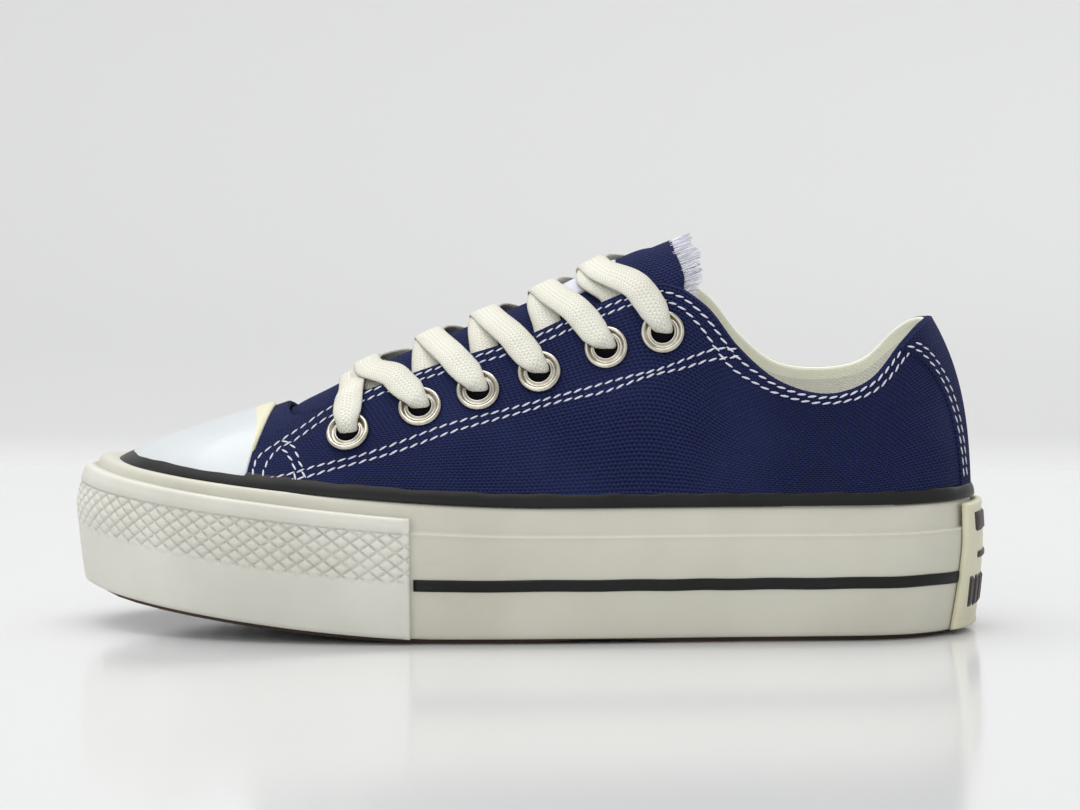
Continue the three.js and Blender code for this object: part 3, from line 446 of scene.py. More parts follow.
# The upper's outer surface: share 0 is its foot and share 1 its topline
def upperBare(station, share):
    station, share = floats(station, share)
    foot, edge = footLine(station), edgeLine(station)
    across = edge - foot
    rise = across[..., 2].copy()
    across[..., 2] = 0
    run = np.linalg.norm(across, axis=-1)
    across = across / run[..., None]
    lean = np.arctan2(run, rise)
    chord = np.hypot(run, rise)

    def towards(angle, length):
        return up * (np.cos(angle) * length)[..., None] + across * (np.sin(angle) * length)[..., None]

    low = foot + towards(lean * around(station, "start"), chord * around(station, "hold"))
    high = edge - towards(lean * around(station, "end"), chord * sizes["edgeHold"])
    t = share[..., None]
    return foot * (1 - t) ** 3 + 3 * low * t * (1 - t) ** 2 + 3 * high * t * t * (1 - t) + edge * t ** 3


def upperNormal(station, share):
    low, high = np.clip(np.asarray(share) - small, 0, 1), np.clip(np.asarray(share) + small, 0, 1)
    alongWall = upperBare(station, high) - upperBare(station, low)
    tangent = upperBare(station + small, share) - upperBare(station - small, share)
    return -unit(np.cross(tangent, alongWall))


def upperSurface(station, share, lift=0.0):
    station, share, lift = floats(station, share, lift)
    return upperBare(station, share) + upperNormal(station, share) * lift[..., None]


# The sole's side at a share of its height
def soleSide(station, share, out=0.0):
    station, share, out = floats(station, share, out)
    x = soleLine(station)[..., 0]
    low = bottomHeight(x) + sizes["outsoleStandOut"]
    shoulder = sizes["shoulderInset"] + sizes["toeShoulder"] * toeShare(x)
    taper = sizes["soleTaper"] * np.clip(1 - share / 0.7, 0, None) ** 1.5
    lean = shoulder * np.clip((share - 0.6) / 0.4, 0, None) ** 1.5
    place = movedOut(soleLine, station, out - taper - lean)
    place[..., 2] = low + (foxingTop(x) - low) * share
    return place


def shareOfHeight(station, height):
    x = soleLine(station)[..., 0]
    low = bottomHeight(x) + sizes["outsoleStandOut"]
    return (height - low) / (foxingTop(x) - low)


def walkedAlong(line):
    return np.concatenate(([0], np.cumsum(np.linalg.norm(np.diff(line, axis=0), axis=-1))))


# The share of the surface that lies a distance in millimetres below the topline, or a height above the foot
fineShares = np.linspace(0, 1, 161)


def shareWhere(station, value, shareOnWall):
    station, value = floats(station, value)
    found = np.empty(station.shape)
    for index in np.ndindex(station.shape):
        found[index] = shareOnWall(upperBare(station[index], fineShares), value[index])
    return found


def shareBelowEdge(station, distance):
    return shareWhere(station, distance,
                      lambda wall, value: np.interp(value, walkedAlong(wall[::-1]), fineShares[::-1]))


def shareAboveFoot(station, height):
    return shareWhere(station, height,
                      lambda wall, value: np.interp(value, wall[:, 2] - wall[0, 2], fineShares))


# The share where the rolled rim of the topline begins
loopFine = np.linspace(0, loopStations, 681)
rimShares = shareBelowEdge(loopFine, sizes["wall"] / 2)


def rimShare(station):
    return np.interp(np.mod(station, loopStations), loopFine, rimShares)


# ---- making meshes ----

def gridObject(name, rows, materials, closeRows=False, closeColumns=False, uv=None, materialOf=None):
    rowCount, columnCount = rows.shape[:2]
    form = bmesh.new()
    bmesh.ops.create_grid(form, x_segments=columnCount - 1, y_segments=rowCount - 1, size=1)
    mapLayer = form.loops.layers.uv.new("surface")
    if uv is None:
        uv = surfaceLengths(rows)
    places = (rows.reshape(-1, 3) * metre).tolist()
    flat = uv.reshape(-1, 2).tolist()
    form.verts.index_update()
    for vert in form.verts:
        vert.co = places[vert.index]
    smoothFaces(form)
    for face in form.faces:
        for corner in face.loops:
            corner[mapLayer].uv = flat[corner.vert.index]
        if materialOf is not None:
            lowest = min(corner.vert.index for corner in face.loops)
            face.material_index = materialOf(lowest // columnCount, lowest % columnCount)
    if closeRows or closeColumns:
        bmesh.ops.remove_doubles(form, verts=form.verts, dist=2e-6)
        closeEnds(form)
    return finishObject(name, form, materials)


def smoothFaces(form):
    for face in form.faces:
        face.smooth = True


def closeEnds(form):
    bmesh.ops.holes_fill(form, edges=[edge for edge in form.edges if edge.is_boundary], sides=0)


def closedRows(*parts):
    return np.concatenate((*parts, parts[0][:, :1]), axis=1)


# A closed skin from a sheet and its underside, whose rims lie together
def closedSkin(front, back):
    return closedRows(front, back[:, ::-1][:, 1:-1])


def withEnds(rows, ends):
    return np.concatenate((ends[:1], rows, ends[1:]), axis=0)


def finishObject(name, form, materials):
    bmesh.ops.recalc_face_normals(form, faces=form.faces)
    mesh = bpy.data.meshes.new(name)
    form.to_mesh(mesh)
    form.free()
    for material in materials:
        mesh.materials.append(material)
    return newObject(name, mesh)


# Moves a form's middle to a place in millimetres and turns its Z the way it faces
def placedAt(place, facing):
    turn = Vector(facing).to_track_quat("Z", "Y").to_matrix().to_4x4()
    return Matrix.Translation(Vector(place * metre)) @ turn


def surfaceLengths(rows):
    alongRows = np.linalg.norm(np.diff(rows, axis=0), axis=-1).mean(axis=1)
    alongColumns = np.linalg.norm(np.diff(rows, axis=1), axis=-1).mean(axis=0)
    u = np.concatenate(([0], np.cumsum(alongRows)))
    v = np.concatenate(([0], np.cumsum(alongColumns)))
    return np.stack(np.meshgrid(u, v, indexing="ij"), axis=-1)


def dress(piece, slotName, *nodeNames):
    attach(piece, "root")
    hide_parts(*nodeNames)


# Steps to the nearer end of a row
def toNearEnd(count):
    steps = np.arange(count)
    return np.minimum(steps, steps[::-1])


panelEdge = {"roll": 0.35, "sunk": 0.6, "tuckedIn": 0.25}


# A thin panel on the upper, with rolled edges on all four sides
def panelObject(name, stationAt, shareAt, counts, thickness, base=0.1, relief=None):
    across = np.concatenate(([0, 0], np.linspace(0, 1, counts[0] + 1), [1, 1]))
    upwards = np.concatenate(([0, 0], np.linspace(0, 1, counts[1] + 1), [1, 1]))
    edge = np.minimum.outer(toNearEnd(len(across)), toNearEnd(len(upwards)))
    sunk = base - panelEdge["sunk"]
    rolled = base + thickness * (1 - panelEdge["roll"])
    lift = np.select([edge == 0, edge == 1], [sunk, rolled], base + thickness)
    u, v = np.meshgrid(across, upwards, indexing="ij")
    station, share = stationAt(u, v), shareAt(u, v)
    if relief is not None:
        lift = lift + np.where(edge > 1, relief(station, share), 0)
    inset = np.where(edge >= 2, 1.0, 0.0)
    rows = upperSurface(station, share, lift)
    middle = rows.copy()
    for axis in (0, 1):
        sign = np.sign(np.arange(rows.shape[axis]) - (rows.shape[axis] - 1) / 2)
        nearEdge = toNearEnd(rows.shape[axis]) == 2
        step = np.gradient(rows, axis=axis)
        step = step / np.maximum(np.linalg.norm(step, axis=-1, keepdims=True), 1e-9)
        shape = [1, 1, 1]
        shape[axis] = -1
        move = -(sign * nearEdge * panelEdge["tuckedIn"]).reshape(shape)
        middle = middle + step * move * inset[..., None]
    under = upperSurface(station, share, sunk)
    return gridObject(name, closedSkin(middle, under), [canvasCloth], False, True)


upperLook = {
    "stepsPerStation": 14, "rows": 46, "rim": 6, "innerRows": 40, "binding": 6, "hem": 14, "footDrop": 0.6,
    "facing": {"from": 8.3, "column": 28},
}


# Upper: a hollow shell, canvas outside and cream lining inside, with a rolled topline
def makeUpper():
    stations = np.linspace(0, loopStations, loopStations * upperLook["stepsPerStation"] + 1)[:, None]
    wall = sizes["wall"]
    top = rimShare(stations)
    inner = np.linspace(0.03, 1, upperLook["innerRows"])
    outer = np.linspace(1, 0, upperLook["rows"])
    foot = movedOut(footLine, stations, -wall)
    hem = foot.copy()
    hem[..., 2] -= upperLook["hem"]
    foot[..., 2] -= upperLook["footDrop"]
    inside = upperSurface(stations, inner[None, :] * top, -wall)
    turns = np.linspace(-90, 90, upperLook["rim"] + 2)[1:-1] * math.pi / 180
    edge, normal = upperBare(stations, top), upperNormal(stations, top)
    climb = unit(edge - upperBare(stations, top - small))
    rim = (edge - normal * wall / 2 + normal * (np.sin(turns) * wall / 2)[None, :, None]
           + climb * (np.cos(turns) * wall / 2)[None, :, None])
    outside = upperSurface(stations, outer[None, :] * top)
    skirt = footLine(stations)
    skirt[..., 2] -= upperLook["hem"]
    rows = np.concatenate((hem, foot, inside, rim, outside, skirt, hem), axis=1)
    lined = 1 + upperLook["innerRows"] + upperLook["rim"] // 2
    faced = upperLook["facing"]
    perStation = upperLook["stepsPerStation"]

    def materialOf(row, column):
        isThroat = faced["from"] * perStation <= row < (loopStations - faced["from"]) * perStation
        if column >= (faced["column"] if isThroat else lined):
            return 1
        return 2 if column >= lined - upperLook["binding"] else 0

    piece = gridObject("upperShell", rows, [liningCloth, canvasCloth, bindingCloth], True, True,
                       materialOf=materialOf)
    dress(piece, "canvas", "upper")
    return piece


makeUpper()


# ---- panels sewn on the upper ----

overRim = 0.004  # how far the panels reach on to the rim, as a share of the wall


def along(station, side):
    return station if side == "outer" else loopStations - station


quarterLook = {
    "frontShares": (0, 0.2, 0.38, 0.5, 0.67, 0.9, 1), "heelStation": 0.45, "thickness": 0.75,
    "frontStations": (13.9, 14.0, 14.05, 14.0, 13.85, 13.6, 13.42), "counts": (230, 56), "low": 0.03,
    "heelDrop": 0.45,
}
pulls = [  # soft troughs and swells of the canvas: station, share, reach along, reach up, height in mm
    (12.2, 0.3, 0.5, 0.2, -0.35), (11.1, 0.42, 0.35, 0.28, 0.3), (10.3, 0.3, 0.5, 0.22, -0.3),
    (8.6, 0.4, 0.7, 0.25, 0.35), (6.4, 0.35, 0.6, 0.3, -0.4), (4.6, 0.5, 0.8, 0.3, 0.3),
    (2.6, 0.45, 0.6, 0.35, -0.35), (7.4, 0.75, 0.4, 0.12, 0.25), (9.6, 0.75, 0.25, 0.1, -0.2),
]


def canvasRelief(station, share):
    station = np.where(station > lastSection, loopStations - station, station)
    height = np.zeros(np.broadcast(station, share).shape)
    for place, level, reachAlong, reachUp, lift in pulls:
        away = ((station - place) / reachAlong) ** 2 + ((share - level) / reachUp) ** 2
        height = height + lift * np.exp(-away)
    thinned = quarterLook["heelDrop"] * (1 - smoothStep(station, 1.4, 2.6))
    return 1.5 * height * np.sin(np.clip(share, 0, 1) * math.pi) ** 0.5 - thinned


def makeQuarter(side):
    look = quarterLook

    def stationAt(u, v):
        front = np.interp(look["low"] + (1 - look["low"]) * v, look["frontShares"], look["frontStations"])
        return along(front + (look["heelStation"] - front) * u, side)

    def shareAt(u, v):
        return look["low"] + (rimShare(stationAt(u, v)) + overRim - look["low"]) * v

    piece = panelObject(side + "Quarter", stationAt, shareAt, look["counts"], look["thickness"],
                        relief=canvasRelief)
    dress(piece, "canvas")


stripLook = {"half": 12.5, "flare": 13, "power": 2.2, "counts": (36, 60), "thickness": 0.6, "base": 0.35}


def stripStation(share):
    half = stripLook["half"] + stripLook["flare"] * share ** stripLook["power"]
    stations = np.linspace(0, 3, 301)
    found = np.empty(share.shape)
    for index in np.ndindex(share.shape):
        found[index] = np.interp(half[index], -upperBare(stations, share[index])[:, 1], stations)
    return found


def makeHeelStrip():
    look = stripLook
    low = quarterLook["low"]
    levels = np.linspace(low, 1, 80)
    edge = stripStation(levels)

    def stationAt(u, v):
        return (2 * u - 1) * np.interp(low + (1 - low) * v, levels, edge)

    def shareAt(u, v):
        return low + (rimShare(0) + overRim - low) * v

    piece = panelObject("heelStrip", stationAt, shareAt, look["counts"], look["thickness"],
                        base=look["base"])
    dress(piece, "canvas", "heel_strip")


makeQuarter("outer")
makeQuarter("inner")
makeHeelStrip()
print("upper and its panels made")

capSizes = {
    "length": 43, "curve": 4.4, "thickness": 1.05, "base": 0.25, "edge": 0.35, "foot": 0.02, "under": -0.3,
    "rows": 44, "columns": 150, "bevel": 1.9, "yellowRows": 9,
}


# Toe cap: its rear edge runs in a curve across the toes
def makeToeCap():
    rear = lastHeel - sizes["lastLength"] + capSizes["length"]
    half = sizes["soleBallWidth"] / 2

    def topShare(station):
        wall = upperBare(station, fineShares)
        t = np.clip(wall[:, 1] / half, -1, 1)
        line = rear - capSizes["curve"] * 2 * t * t
        behind = wall[:, 0] - line
        if behind[0] > 0:
            return 0.0
        crossing = np.argmax(behind > 0) if (behind > 0).any() else len(fineShares) - 1
        return float(np.interp(0, behind[crossing - 1:crossing + 1], fineShares[crossing - 1:crossing + 1]))

    fine = np.linspace(13, 21, 801)
    tops = np.array([topShare(station) for station in fine])
    covered = fine[tops > capSizes["foot"]]
    stations = np.linspace(covered[0], covered[-1], capSizes["columns"] + 1)
    top = np.interp(stations, fine, tops)
    low = np.full_like(top, capSizes["foot"])
    levels = np.concatenate((np.linspace(0, 0.9, capSizes["rows"]), np.linspace(0.92, 1, 8)))
    share = low[:, None] + (np.maximum(top, low + 0.004) - low)[:, None] * levels[None, :]
    wall = upperBare(stations[:, None], share)
    toEdge = np.linalg.norm(wall - wall[:, -1:], axis=-1)
    bevel = np.clip(toEdge / capSizes["bevel"], 0, 1)
    edge = capSizes["edge"]
    lift = capSizes["base"] + edge + (capSizes["thickness"] - edge) * np.sin(bevel * math.pi / 2)
    outer = upperSurface(stations[:, None], share, lift)
    under = upperSurface(stations[:, None], share[:, ::-1][:, ::6], capSizes["under"])
    rows = closedRows(outer, under)
    piece = gridObject("toeCapShell", rows, [capRubber, labelRubber], False, True,
                       materialOf=lambda row, column: int(column >= len(levels) - capSizes["yellowRows"]))
    dress(piece, "cap_rubber", "toe_cap")


makeToeCap()

# ---- sole ----

soleStations = np.linspace(0, loopStations, loopStations * 12 + 1)
foxingLook = {"bottomRoll": 1.1, "topRoll": 0.9, "rebate": 0.3}
foxingFoot = sizes["outsoleStandOut"]
stepShare = (sizes["tapeStepHeight"] - foxingFoot) / (sizes["soleHeight"] - foxingFoot)


# Foxing: a moulded band, and a tape above its step
def makeFoxing():
    stations = soleStations[:, None]
    step = sizes["tapeStep"]
    profile = [(0, -foxingLook["bottomRoll"]), (0.006, -0.4), (0.02, -0.08)]
    profile += [(share, 0) for share in np.linspace(0.05, stepShare - 0.02, 22)]
    profile += [(stepShare - 0.011, 0.12), (stepShare - 0.004, 0.05), (stepShare, -0.3)]
    profile += [(stepShare + 0.004, -step), (stepShare + 0.02, -step)]
    profile += [(share, -step) for share in np.linspace(stepShare + 0.05, 0.96, 6)]
    profile += [(0.985, -step - 0.15), (1, -step - foxingLook["topRoll"])]
    shares, outs = np.array(profile).T
    outside = soleSide(stations, shares[None, :], outs[None, :])
    rebate = movedOut(footLine, stations, foxingLook["rebate"])
    deep = rebate.copy()
    deep[..., 2] -= sizes["margin"]
    tread = movedOut(soleLine, stations, foxingLook["rebate"] - sizes["outsoleInset"])
    tread[..., 2] = bottomHeight(tread[..., 0]) + sizes["outsoleStandOut"]
    rows = closedRows(outside, rebate, deep, tread)
    piece = gridObject("foxingBand", rows, [creamRubber], True, True)
    dress(piece, "cream_rubber", "foxing")


pipingLook = {
    "foot": 0.3, "height": 3.3, "toeHeight": 1.9, "reach": 1.9, "toeReach": 3.6, "standOut": 0.85,
    "bulge": 0.35, "lip": 0.35, "tuck": -0.4,
    "wavers": ((29, 0, 0.14), (64, 1, 0.1)),  # turns round the shoe, where each starts, height
}


def makePiping():
    look = pipingLook
    stations = soleStations[:, None]
    toe = toeShare(footLine(stations)[..., 0])
    height = look["foot"] + look["height"] + (look["toeHeight"] - look["height"]) * toe
    reach = look["reach"] + look["toeReach"] * toe
    turn = stations / loopStations * 2 * math.pi
    height = height + sum(size * np.sin(turn * turns + begin) for turns, begin, size in look["wavers"])
    topShare = np.array([shareAboveFoot(s, h) for s, h in zip(stations[:, 0], height[:, 0])])[:, None]
    climb = np.linspace(0, 1, 12)[None, :]
    bulge = np.sin(climb * math.pi) ** 0.8 * look["bulge"]
    low = movedOut(footLine, stations, reach)
    top = upperSurface(stations, topShare, look["standOut"])
    outside = low * (1 - climb[..., None]) + top * climb[..., None]
    normal = upperNormal(stations, topShare)
    outside = outside + normal * bulge[..., None]
    lip = upperSurface(stations, np.minimum(topShare + 0.004, 1), look["lip"])
    tuck = upperSurface(stations, topShare, look["tuck"])
    rows = closedRows(outside, lip, tuck, footLine(stations))
    piece = gridObject("pipingStrip", rows, [blackRubber], True, True)
    dress(piece, "black_rubber", "piping")


# A band on the sole's side between two stations, from a profile of heights and stand-outs
def bandRows(stations, heights, outs):
    rise = bottomHeight(soleLine(stations)[..., 0])
    return soleSide(stations, shareOfHeight(stations, heights + rise), outs)


def stationAtX(x):
    stations = np.linspace(0, lastSection, 3401)
    return float(np.interp(-x, -soleLine(stations)[:, 0], stations))


heelStations = np.linspace(0, 4, 801)
heelWidths = np.linspace(0, 30, 61)
stationsOfWidth = np.interp(heelWidths, -soleLine(heelStations)[:, 1], heelStations)


def heelStationAt(y):
    return np.sign(y) * np.interp(np.abs(y), heelWidths, stationsOfWidth)


bumperLook = {
    "length": 100.4, "drop": 4.4, "toeDrop": 2.6, "thickness": 1.5, "lip": 0.8, "bandBottom": 18.2,
    "bandTop": 30.4, "diamondWidth": 5.2, "diamondHeight": 3.8, "diamondDepth": 1.25, "rim": 2.1,
    "columns": 680, "bandRows": 56, "foot": 1.5, "back": -0.4, "bandSeat": -0.65,
    # shares of the height of the smooth strips below and above the band, and stand-outs
    "lower": ((0, -0.6), (0.03, 0.2), (0.1, 0.4), (0.4, 0.4), (0.7, 0.4), (0.93, 0.4), (0.98, 0.3)),
    "upper": ((0.06, -0.9), (0.12, -0.35), (0.2, 0), (0.5, 0), (0.8, 0), (0.93, -0.12), (1, -0.6)),
}
bumperRear = bumperLook["length"] - sizes["soleLength"] / 2


# Toe bumper: smooth below, a band of raised diamonds, and a lip along its top
def makeBumper():
    look = bumperLook
    start = stationAtX(bumperRear)
    inner = np.linspace(lastSection, loopStations, 3401)
    end = float(np.interp(bumperRear, soleLine(inner)[:, 0], inner))
    stations = np.linspace(start, end, look["columns"] + 1)[:, None]
    line = soleLine(stations[:, 0])
    walked = walkedAlong(line)
    walked = (walked - walked[-1] / 2)[:, None]
    x = line[:, 0:1]
    share = np.clip((bumperRear - x) / look["length"], 0, 1)
    lift = foxingTop(x) - sizes["soleHeight"]
    rise = bottomHeight(x)
    top = sizes["soleHeight"] + lift - (look["drop"] + (look["toeDrop"] - look["drop"]) * share) - rise
    bottom = look["bandBottom"] + share
    high = look["bandTop"] + lift - rise + share
    band = np.linspace(0, 1, look["bandRows"])[None, :]
    bandHeights = bottom + (high - bottom) * band
    a = walked / look["diamondWidth"] + bandHeights / look["diamondHeight"]
    b = walked / look["diamondWidth"] - bandHeights / look["diamondHeight"]
    tent = [1 - np.abs(2 * (value - np.floor(value)) - 1) for value in (a, b)]
    pillow = np.clip(np.minimum(tent[0], tent[1]) / 0.75, 0, 1)
    pillow = np.sqrt(1 - (1 - pillow) ** 2)
    base, foot = look["thickness"], look["foot"]
    bandOuts = base + look["bandSeat"] + look["diamondDepth"] * pillow
    lower, lowOuts = np.array(look["lower"]).T[:, None, :]
    lowHeights = foot + (bottom - 0.35 - foot) * lower
    upper, highOuts = np.array(look["upper"]).T[:, None, :]
    highHeights = high + (top - high) * upper
    lowOuts, highOuts = base + lowOuts, base + look["lip"] + highOuts
    heights = np.concatenate((lowHeights, bandHeights, highHeights), axis=1)
    outs = np.concatenate((np.broadcast_to(lowOuts, lowHeights.shape), bandOuts,
                           np.broadcast_to(highOuts, highHeights.shape)), axis=1)
    toEnd = np.minimum(walked - walked[0], walked[-1] - walked)
    rim = 1 - smoothStep(toEnd, look["rim"] - 0.5, look["rim"])
    outs = outs + rim * (np.minimum(base + 0.75, outs + 0.5) - outs) * (toEnd > 0.25)
    front = bandRows(stations, heights, outs)
    back = bandRows(stations, np.concatenate((top, np.full_like(top, foot)), axis=1), look["back"])
    ends = bandRows(stations[[0, -1]], heights[[0, -1]], look["back"])
    rows = withEnds(closedRows(front, back), closedRows(ends, back[[0, -1]]))
    piece = gridObject("toeBumper", rows, [bumperRubber], False, True)
    dress(piece, "cream_rubber", "toe_bumper")


stripeLook = {
    "height": 3.4, "middle": 17.2, "setback": 1, "waver": 0.08, "turns": 4.1, "endHeight": 0.6, "back": -0.3,
    # shares of its height, and stand-outs
    "profile": ((-0.5, -0.3), (-0.5, 0.3), (-0.42, 0.55), (-0.2, 0.62), (0.2, 0.62), (0.42, 0.55), (0.5, 0.3),
                (0.5, -0.3), (-0.5, -0.3)),
}


def makeStripe():
    look = stripeLook
    start = stationAtX(bumperRear + look["setback"])
    stations = np.linspace(-start, start, 260)[:, None]
    heights, outs = np.array(look["profile"]).T
    waver = look["waver"] * np.sin(stations * look["turns"])
    rows = bandRows(stations, look["middle"] + heights[None, :] * look["height"] + waver, outs[None, :])
    endHeights = look["middle"] + heights[None, :] * look["height"] * look["endHeight"]
    ends = bandRows(stations[[0, -1]], endHeights, look["back"])
    piece = gridObject("blackStripe", withEnds(rows, ends), [blackRubber], False, True)
    dress(piece, "black_rubber", "side_stripe")


labelLook = {
    "halfTop": 18, "halfBottom": 22, "thickness": 1.5, "top": 38.4, "bottom": 1.5, "border": 0.35,
    "seat": 0.5, "backDepth": 0.3,
}
heelBars = (  # middle height, height, half the width of the row, count
    (32.4, 6.6, 14, 1), (22.6, 2.4, 12, 1), (12.2, 10.5, 16, 8),
)
barSizes = {"gap": 0.35, "seat": 1.6, "height": 1.0, "roll": 0.5}


# Heel patch: a bare rubber patch with a low rim, and plain dark bars where such patches carry relief
def makeHeelLabel():
    look = labelLook
    u = np.linspace(-1, 1, 91)[:, None]
    heights = np.linspace(look["bottom"], look["top"], 90)[None, :]
    half = look["halfBottom"] + (look["halfTop"] - look["halfBottom"]) * (heights / look["top"])
    stations = heelStationAt(u * half)
    toSide = (1 - np.abs(u)) * half
    toEnd = np.minimum(heights - look["bottom"], look["top"] - heights)
    near = np.minimum(toSide, toEnd)
    rim = look["border"] * (1 - smoothStep(near, 1.4, 2.2)) * smoothStep(near, 0, 0.3)
    roll = np.sqrt(np.clip(1 - (1 - np.clip(near / 0.6, 0, 1)) ** 2, 0, 1))
    outs = look["seat"] + (look["thickness"] + rim) * roll
    heights = np.broadcast_to(heights, stations.shape)
    front = bandRows(stations, heights, outs)
    back = bandRows(stations, heights, look["seat"] - look["backDepth"] * roll)
    piece = gridObject("heelPatch", closedSkin(front, back), [labelRubber], False, True)
    dress(piece, "label_rubber", "heel_label")
    form = bmesh.new()
    for middle, height, halfWidth, count in heelBars:
        for k in range(count):
            width = 2 * halfWidth / (count + (count - 1) * barSizes["gap"])
            left = -halfWidth + k * width * (1 + barSizes["gap"])
            addBar(form, left, left + width, middle - height / 2, middle + height / 2)
    closeEnds(form)
    smoothFaces(form)
    piece = finishObject("heelBars", form, [barRubber])
    dress(piece, "label_rubber")


def addBar(form, yLow, yHigh, zLow, zHigh):
    made = bmesh.ops.create_grid(form, x_segments=10, y_segments=6, size=1)["verts"]
    u, v = (np.array([vert.co.xy for vert in made], float).T + 1) / 2
    near = np.minimum(np.minimum(u, 1 - u) * (yHigh - yLow), np.minimum(v, 1 - v) * (zHigh - zLow))
    outs = barSizes["seat"] + barSizes["height"] * np.sqrt(np.clip(near / barSizes["roll"], 0, 1))
    rows = bandRows(heelStationAt(yLow + (yHigh - yLow) * u), zLow + (zHigh - zLow) * v, outs)
    for vert, place in zip(made, rows):
        vert.co = place * metre


makeFoxing()
makePiping()
makeBumper()
makeStripe()
makeHeelLabel()
print("sole made")


insoleLook = {
    "counts": (90, 40), "end": 0.02, "room": 0.55, "seat": 0.4, "swell": 0.9, "dish": 1.1, "under": 0.3,
}


# Insole: a cloth sock that dips a little under the foot
def makeInsole():
    look = insoleLook
    u = np.linspace(look["end"], lastSection - look["end"], look["counts"][0])[:, None]
    across = np.linspace(0, 1, look["counts"][1])[None, :]
    inset = -(sizes["wall"] + look["room"])
    one = movedOut(footLine, u, inset)
    other = movedOut(footLine, loopStations - u, inset)
    rows = one * (1 - across[..., None]) + other * across[..., None]
    dish = look["dish"] * np.sin(across * math.pi) ** 0.7
    rows[..., 2] = bedSurface(rows[..., 0]) + look["seat"] + sizes["insoleThickness"] + look["swell"] - dish
    under = rows[:, ::-1].copy()
    under[..., 2] -= sizes["insoleThickness"] - look["under"]
    piece = gridObject("insoleSock", closedRows(rows, under), [liningCloth], False, True)
    dress(piece, "lining", "insole")


makeInsole()

# ---- eyelets ----

eyeletLook = {
    "count": 6, "setback": 14, "topDrop": 1.6, "first": 12.4, "last": 7.9, "sides": 44, "seat": 0.9,
    "shade": 1.1, "shadeRadius": 3.35, "shadeDepth": 1.6,
    # how far each one strays from the even row: in stations and in mm
    "strays": ((0, 0), (-0.12, -0.4), (0, 0), (0.06, 0.6), (-0.03, 1.8), (-0.08, -0.7)),
    "profile": ((3.3, -2.7), (3.25, 0.2), (3.32, 0.7), (3.45, 0.95), (3.65, 1.05), (3.85, 0.95), (4.05, 0.68),
                (4.3, 0.55), (4.7, 0.72), (5.1, 1.12), (5.5, 1.38), (5.95, 1.3), (6.3, 0.9), (6.45, 0.3),
                (6.2, 0), (3.95, 0), (3.95, -2.5), (5.1, -2.6), (5.3, -2.9), (5.0, -3.15), (3.6, -3.1)),
}


def eyeletPlace(number, side):
    look = eyeletLook
    stray, drop = look["strays"][number - 1]
    station = look["first"] + (look["last"] - look["first"]) * (number - 1) / (look["count"] - 1) + stray
    setback = look["setback"] + drop + (look["topDrop"] if number == look["count"] else 0)
    place = along(station, side)
    share = float(shareBelowEdge(np.array(place), np.array(setback)))
    return {"station": place, "share": share, "setback": setback,
            "middle": upperBare(place, share), "normal": upperNormal(place, share)}


def makeEyelet(number, side):
    look = eyeletLook
    place = eyeletPlace(number, side)
    form = bmesh.new()
    ring = [form.verts.new((r * metre, 0, (y + look["seat"]) * metre)) for r, y in look["profile"]]
    edges = [form.edges.new((ring[k - 1], ring[k])) for k in range(len(ring))]
    bmesh.ops.spin(form, geom=ring + edges, cent=(0, 0, 0), axis=(0, 0, 1), dvec=(0, 0, 0),
                   angle=2 * math.pi, steps=look["sides"], use_merge=True, use_duplicate=False)
    radius, depth = look["shadeRadius"] * metre, look["shadeDepth"] * metre
    middle = Matrix.Translation((0, 0, look["shade"] * metre - depth / 2))
    shade = bmesh.ops.create_cone(form, cap_ends=True, segments=look["sides"], radius1=radius, radius2=radius,
                                  depth=depth, matrix=middle)
    for face in {face for vert in shade["verts"] for face in vert.link_faces}:
        face.material_index = 1
    bmesh.ops.transform(form, matrix=placedAt(place["middle"], place["normal"]), verts=form.verts)
    smoothFaces(form)
    piece = finishObject(f"{side}Eyelet{number}", form, [nickel, holeShade])
    dress(piece, "eyelet_metal", f"eyelet_{side}_{number}")


for side in ("outer", "inner"):
    for number in range(1, eyeletLook["count"] + 1):
        makeEyelet(number, side)
print("eyelets made")

# ---- tongue ----


# A smooth curve through knots, the last but one axis, at shares of its length in knots
def throughKnots(knots, shares):
    count = knots.shape[-2]
    first = 2 * knots[..., :1, :] - knots[..., 1:2, :]
    last = 2 * knots[..., -1:, :] - knots[..., -2:-1, :]
    full = np.concatenate((first, knots, last), axis=-2)
    place = np.clip(np.asarray(shares, float), 0, 1) * (count - 1)
    index = np.minimum(place.astype(int), count - 2)
    t = (place - index)[..., None]
    a, b, c, d = (np.take(full, index + k, axis=-2) for k in range(4))
    spans = [np.maximum(np.linalg.norm(q - p, axis=-1, keepdims=True) ** 0.5, 1e-3)
             for p, q in ((a, b), (b, c), (c, d))]
    slopeIn = ((b - a) / spans[0] - (c - a) / (spans[0] + spans[1]) + (c - b) / spans[1]) * spans[1]
    slopeOut = ((c - b) / spans[1] - (d - b) / (spans[1] + spans[2]) + (d - c) / spans[2]) * spans[1]
    bend = 2 * b - 2 * c + slopeIn + slopeOut
    turn = 3 * c - 3 * b - 2 * slopeIn - slopeOut
    return ((bend * t + turn) * t + slopeIn) * t + b


tongueLook = {
    "thickness": 2.4, "tuck": 15, "crown": 10.5, "slope": 22, "end": 13, "narrowing": 0.11, "laceSpace": 2.7,
    "corner": 8, "front": 16.4, "fringe": 6.4, "threads": 150, "rows": 110, "columns": 70,
}
clothEnd = tongueLook["corner"] - (tongueLook["end"] - tongueLook["fringe"]) / tongueLook["end"]
slope = math.radians(tongueLook["slope"])
tongueAlong = np.array((math.cos(slope), 0, math.sin(slope)))
tongueRise = np.array((-math.sin(slope), 0, math.cos(slope)))


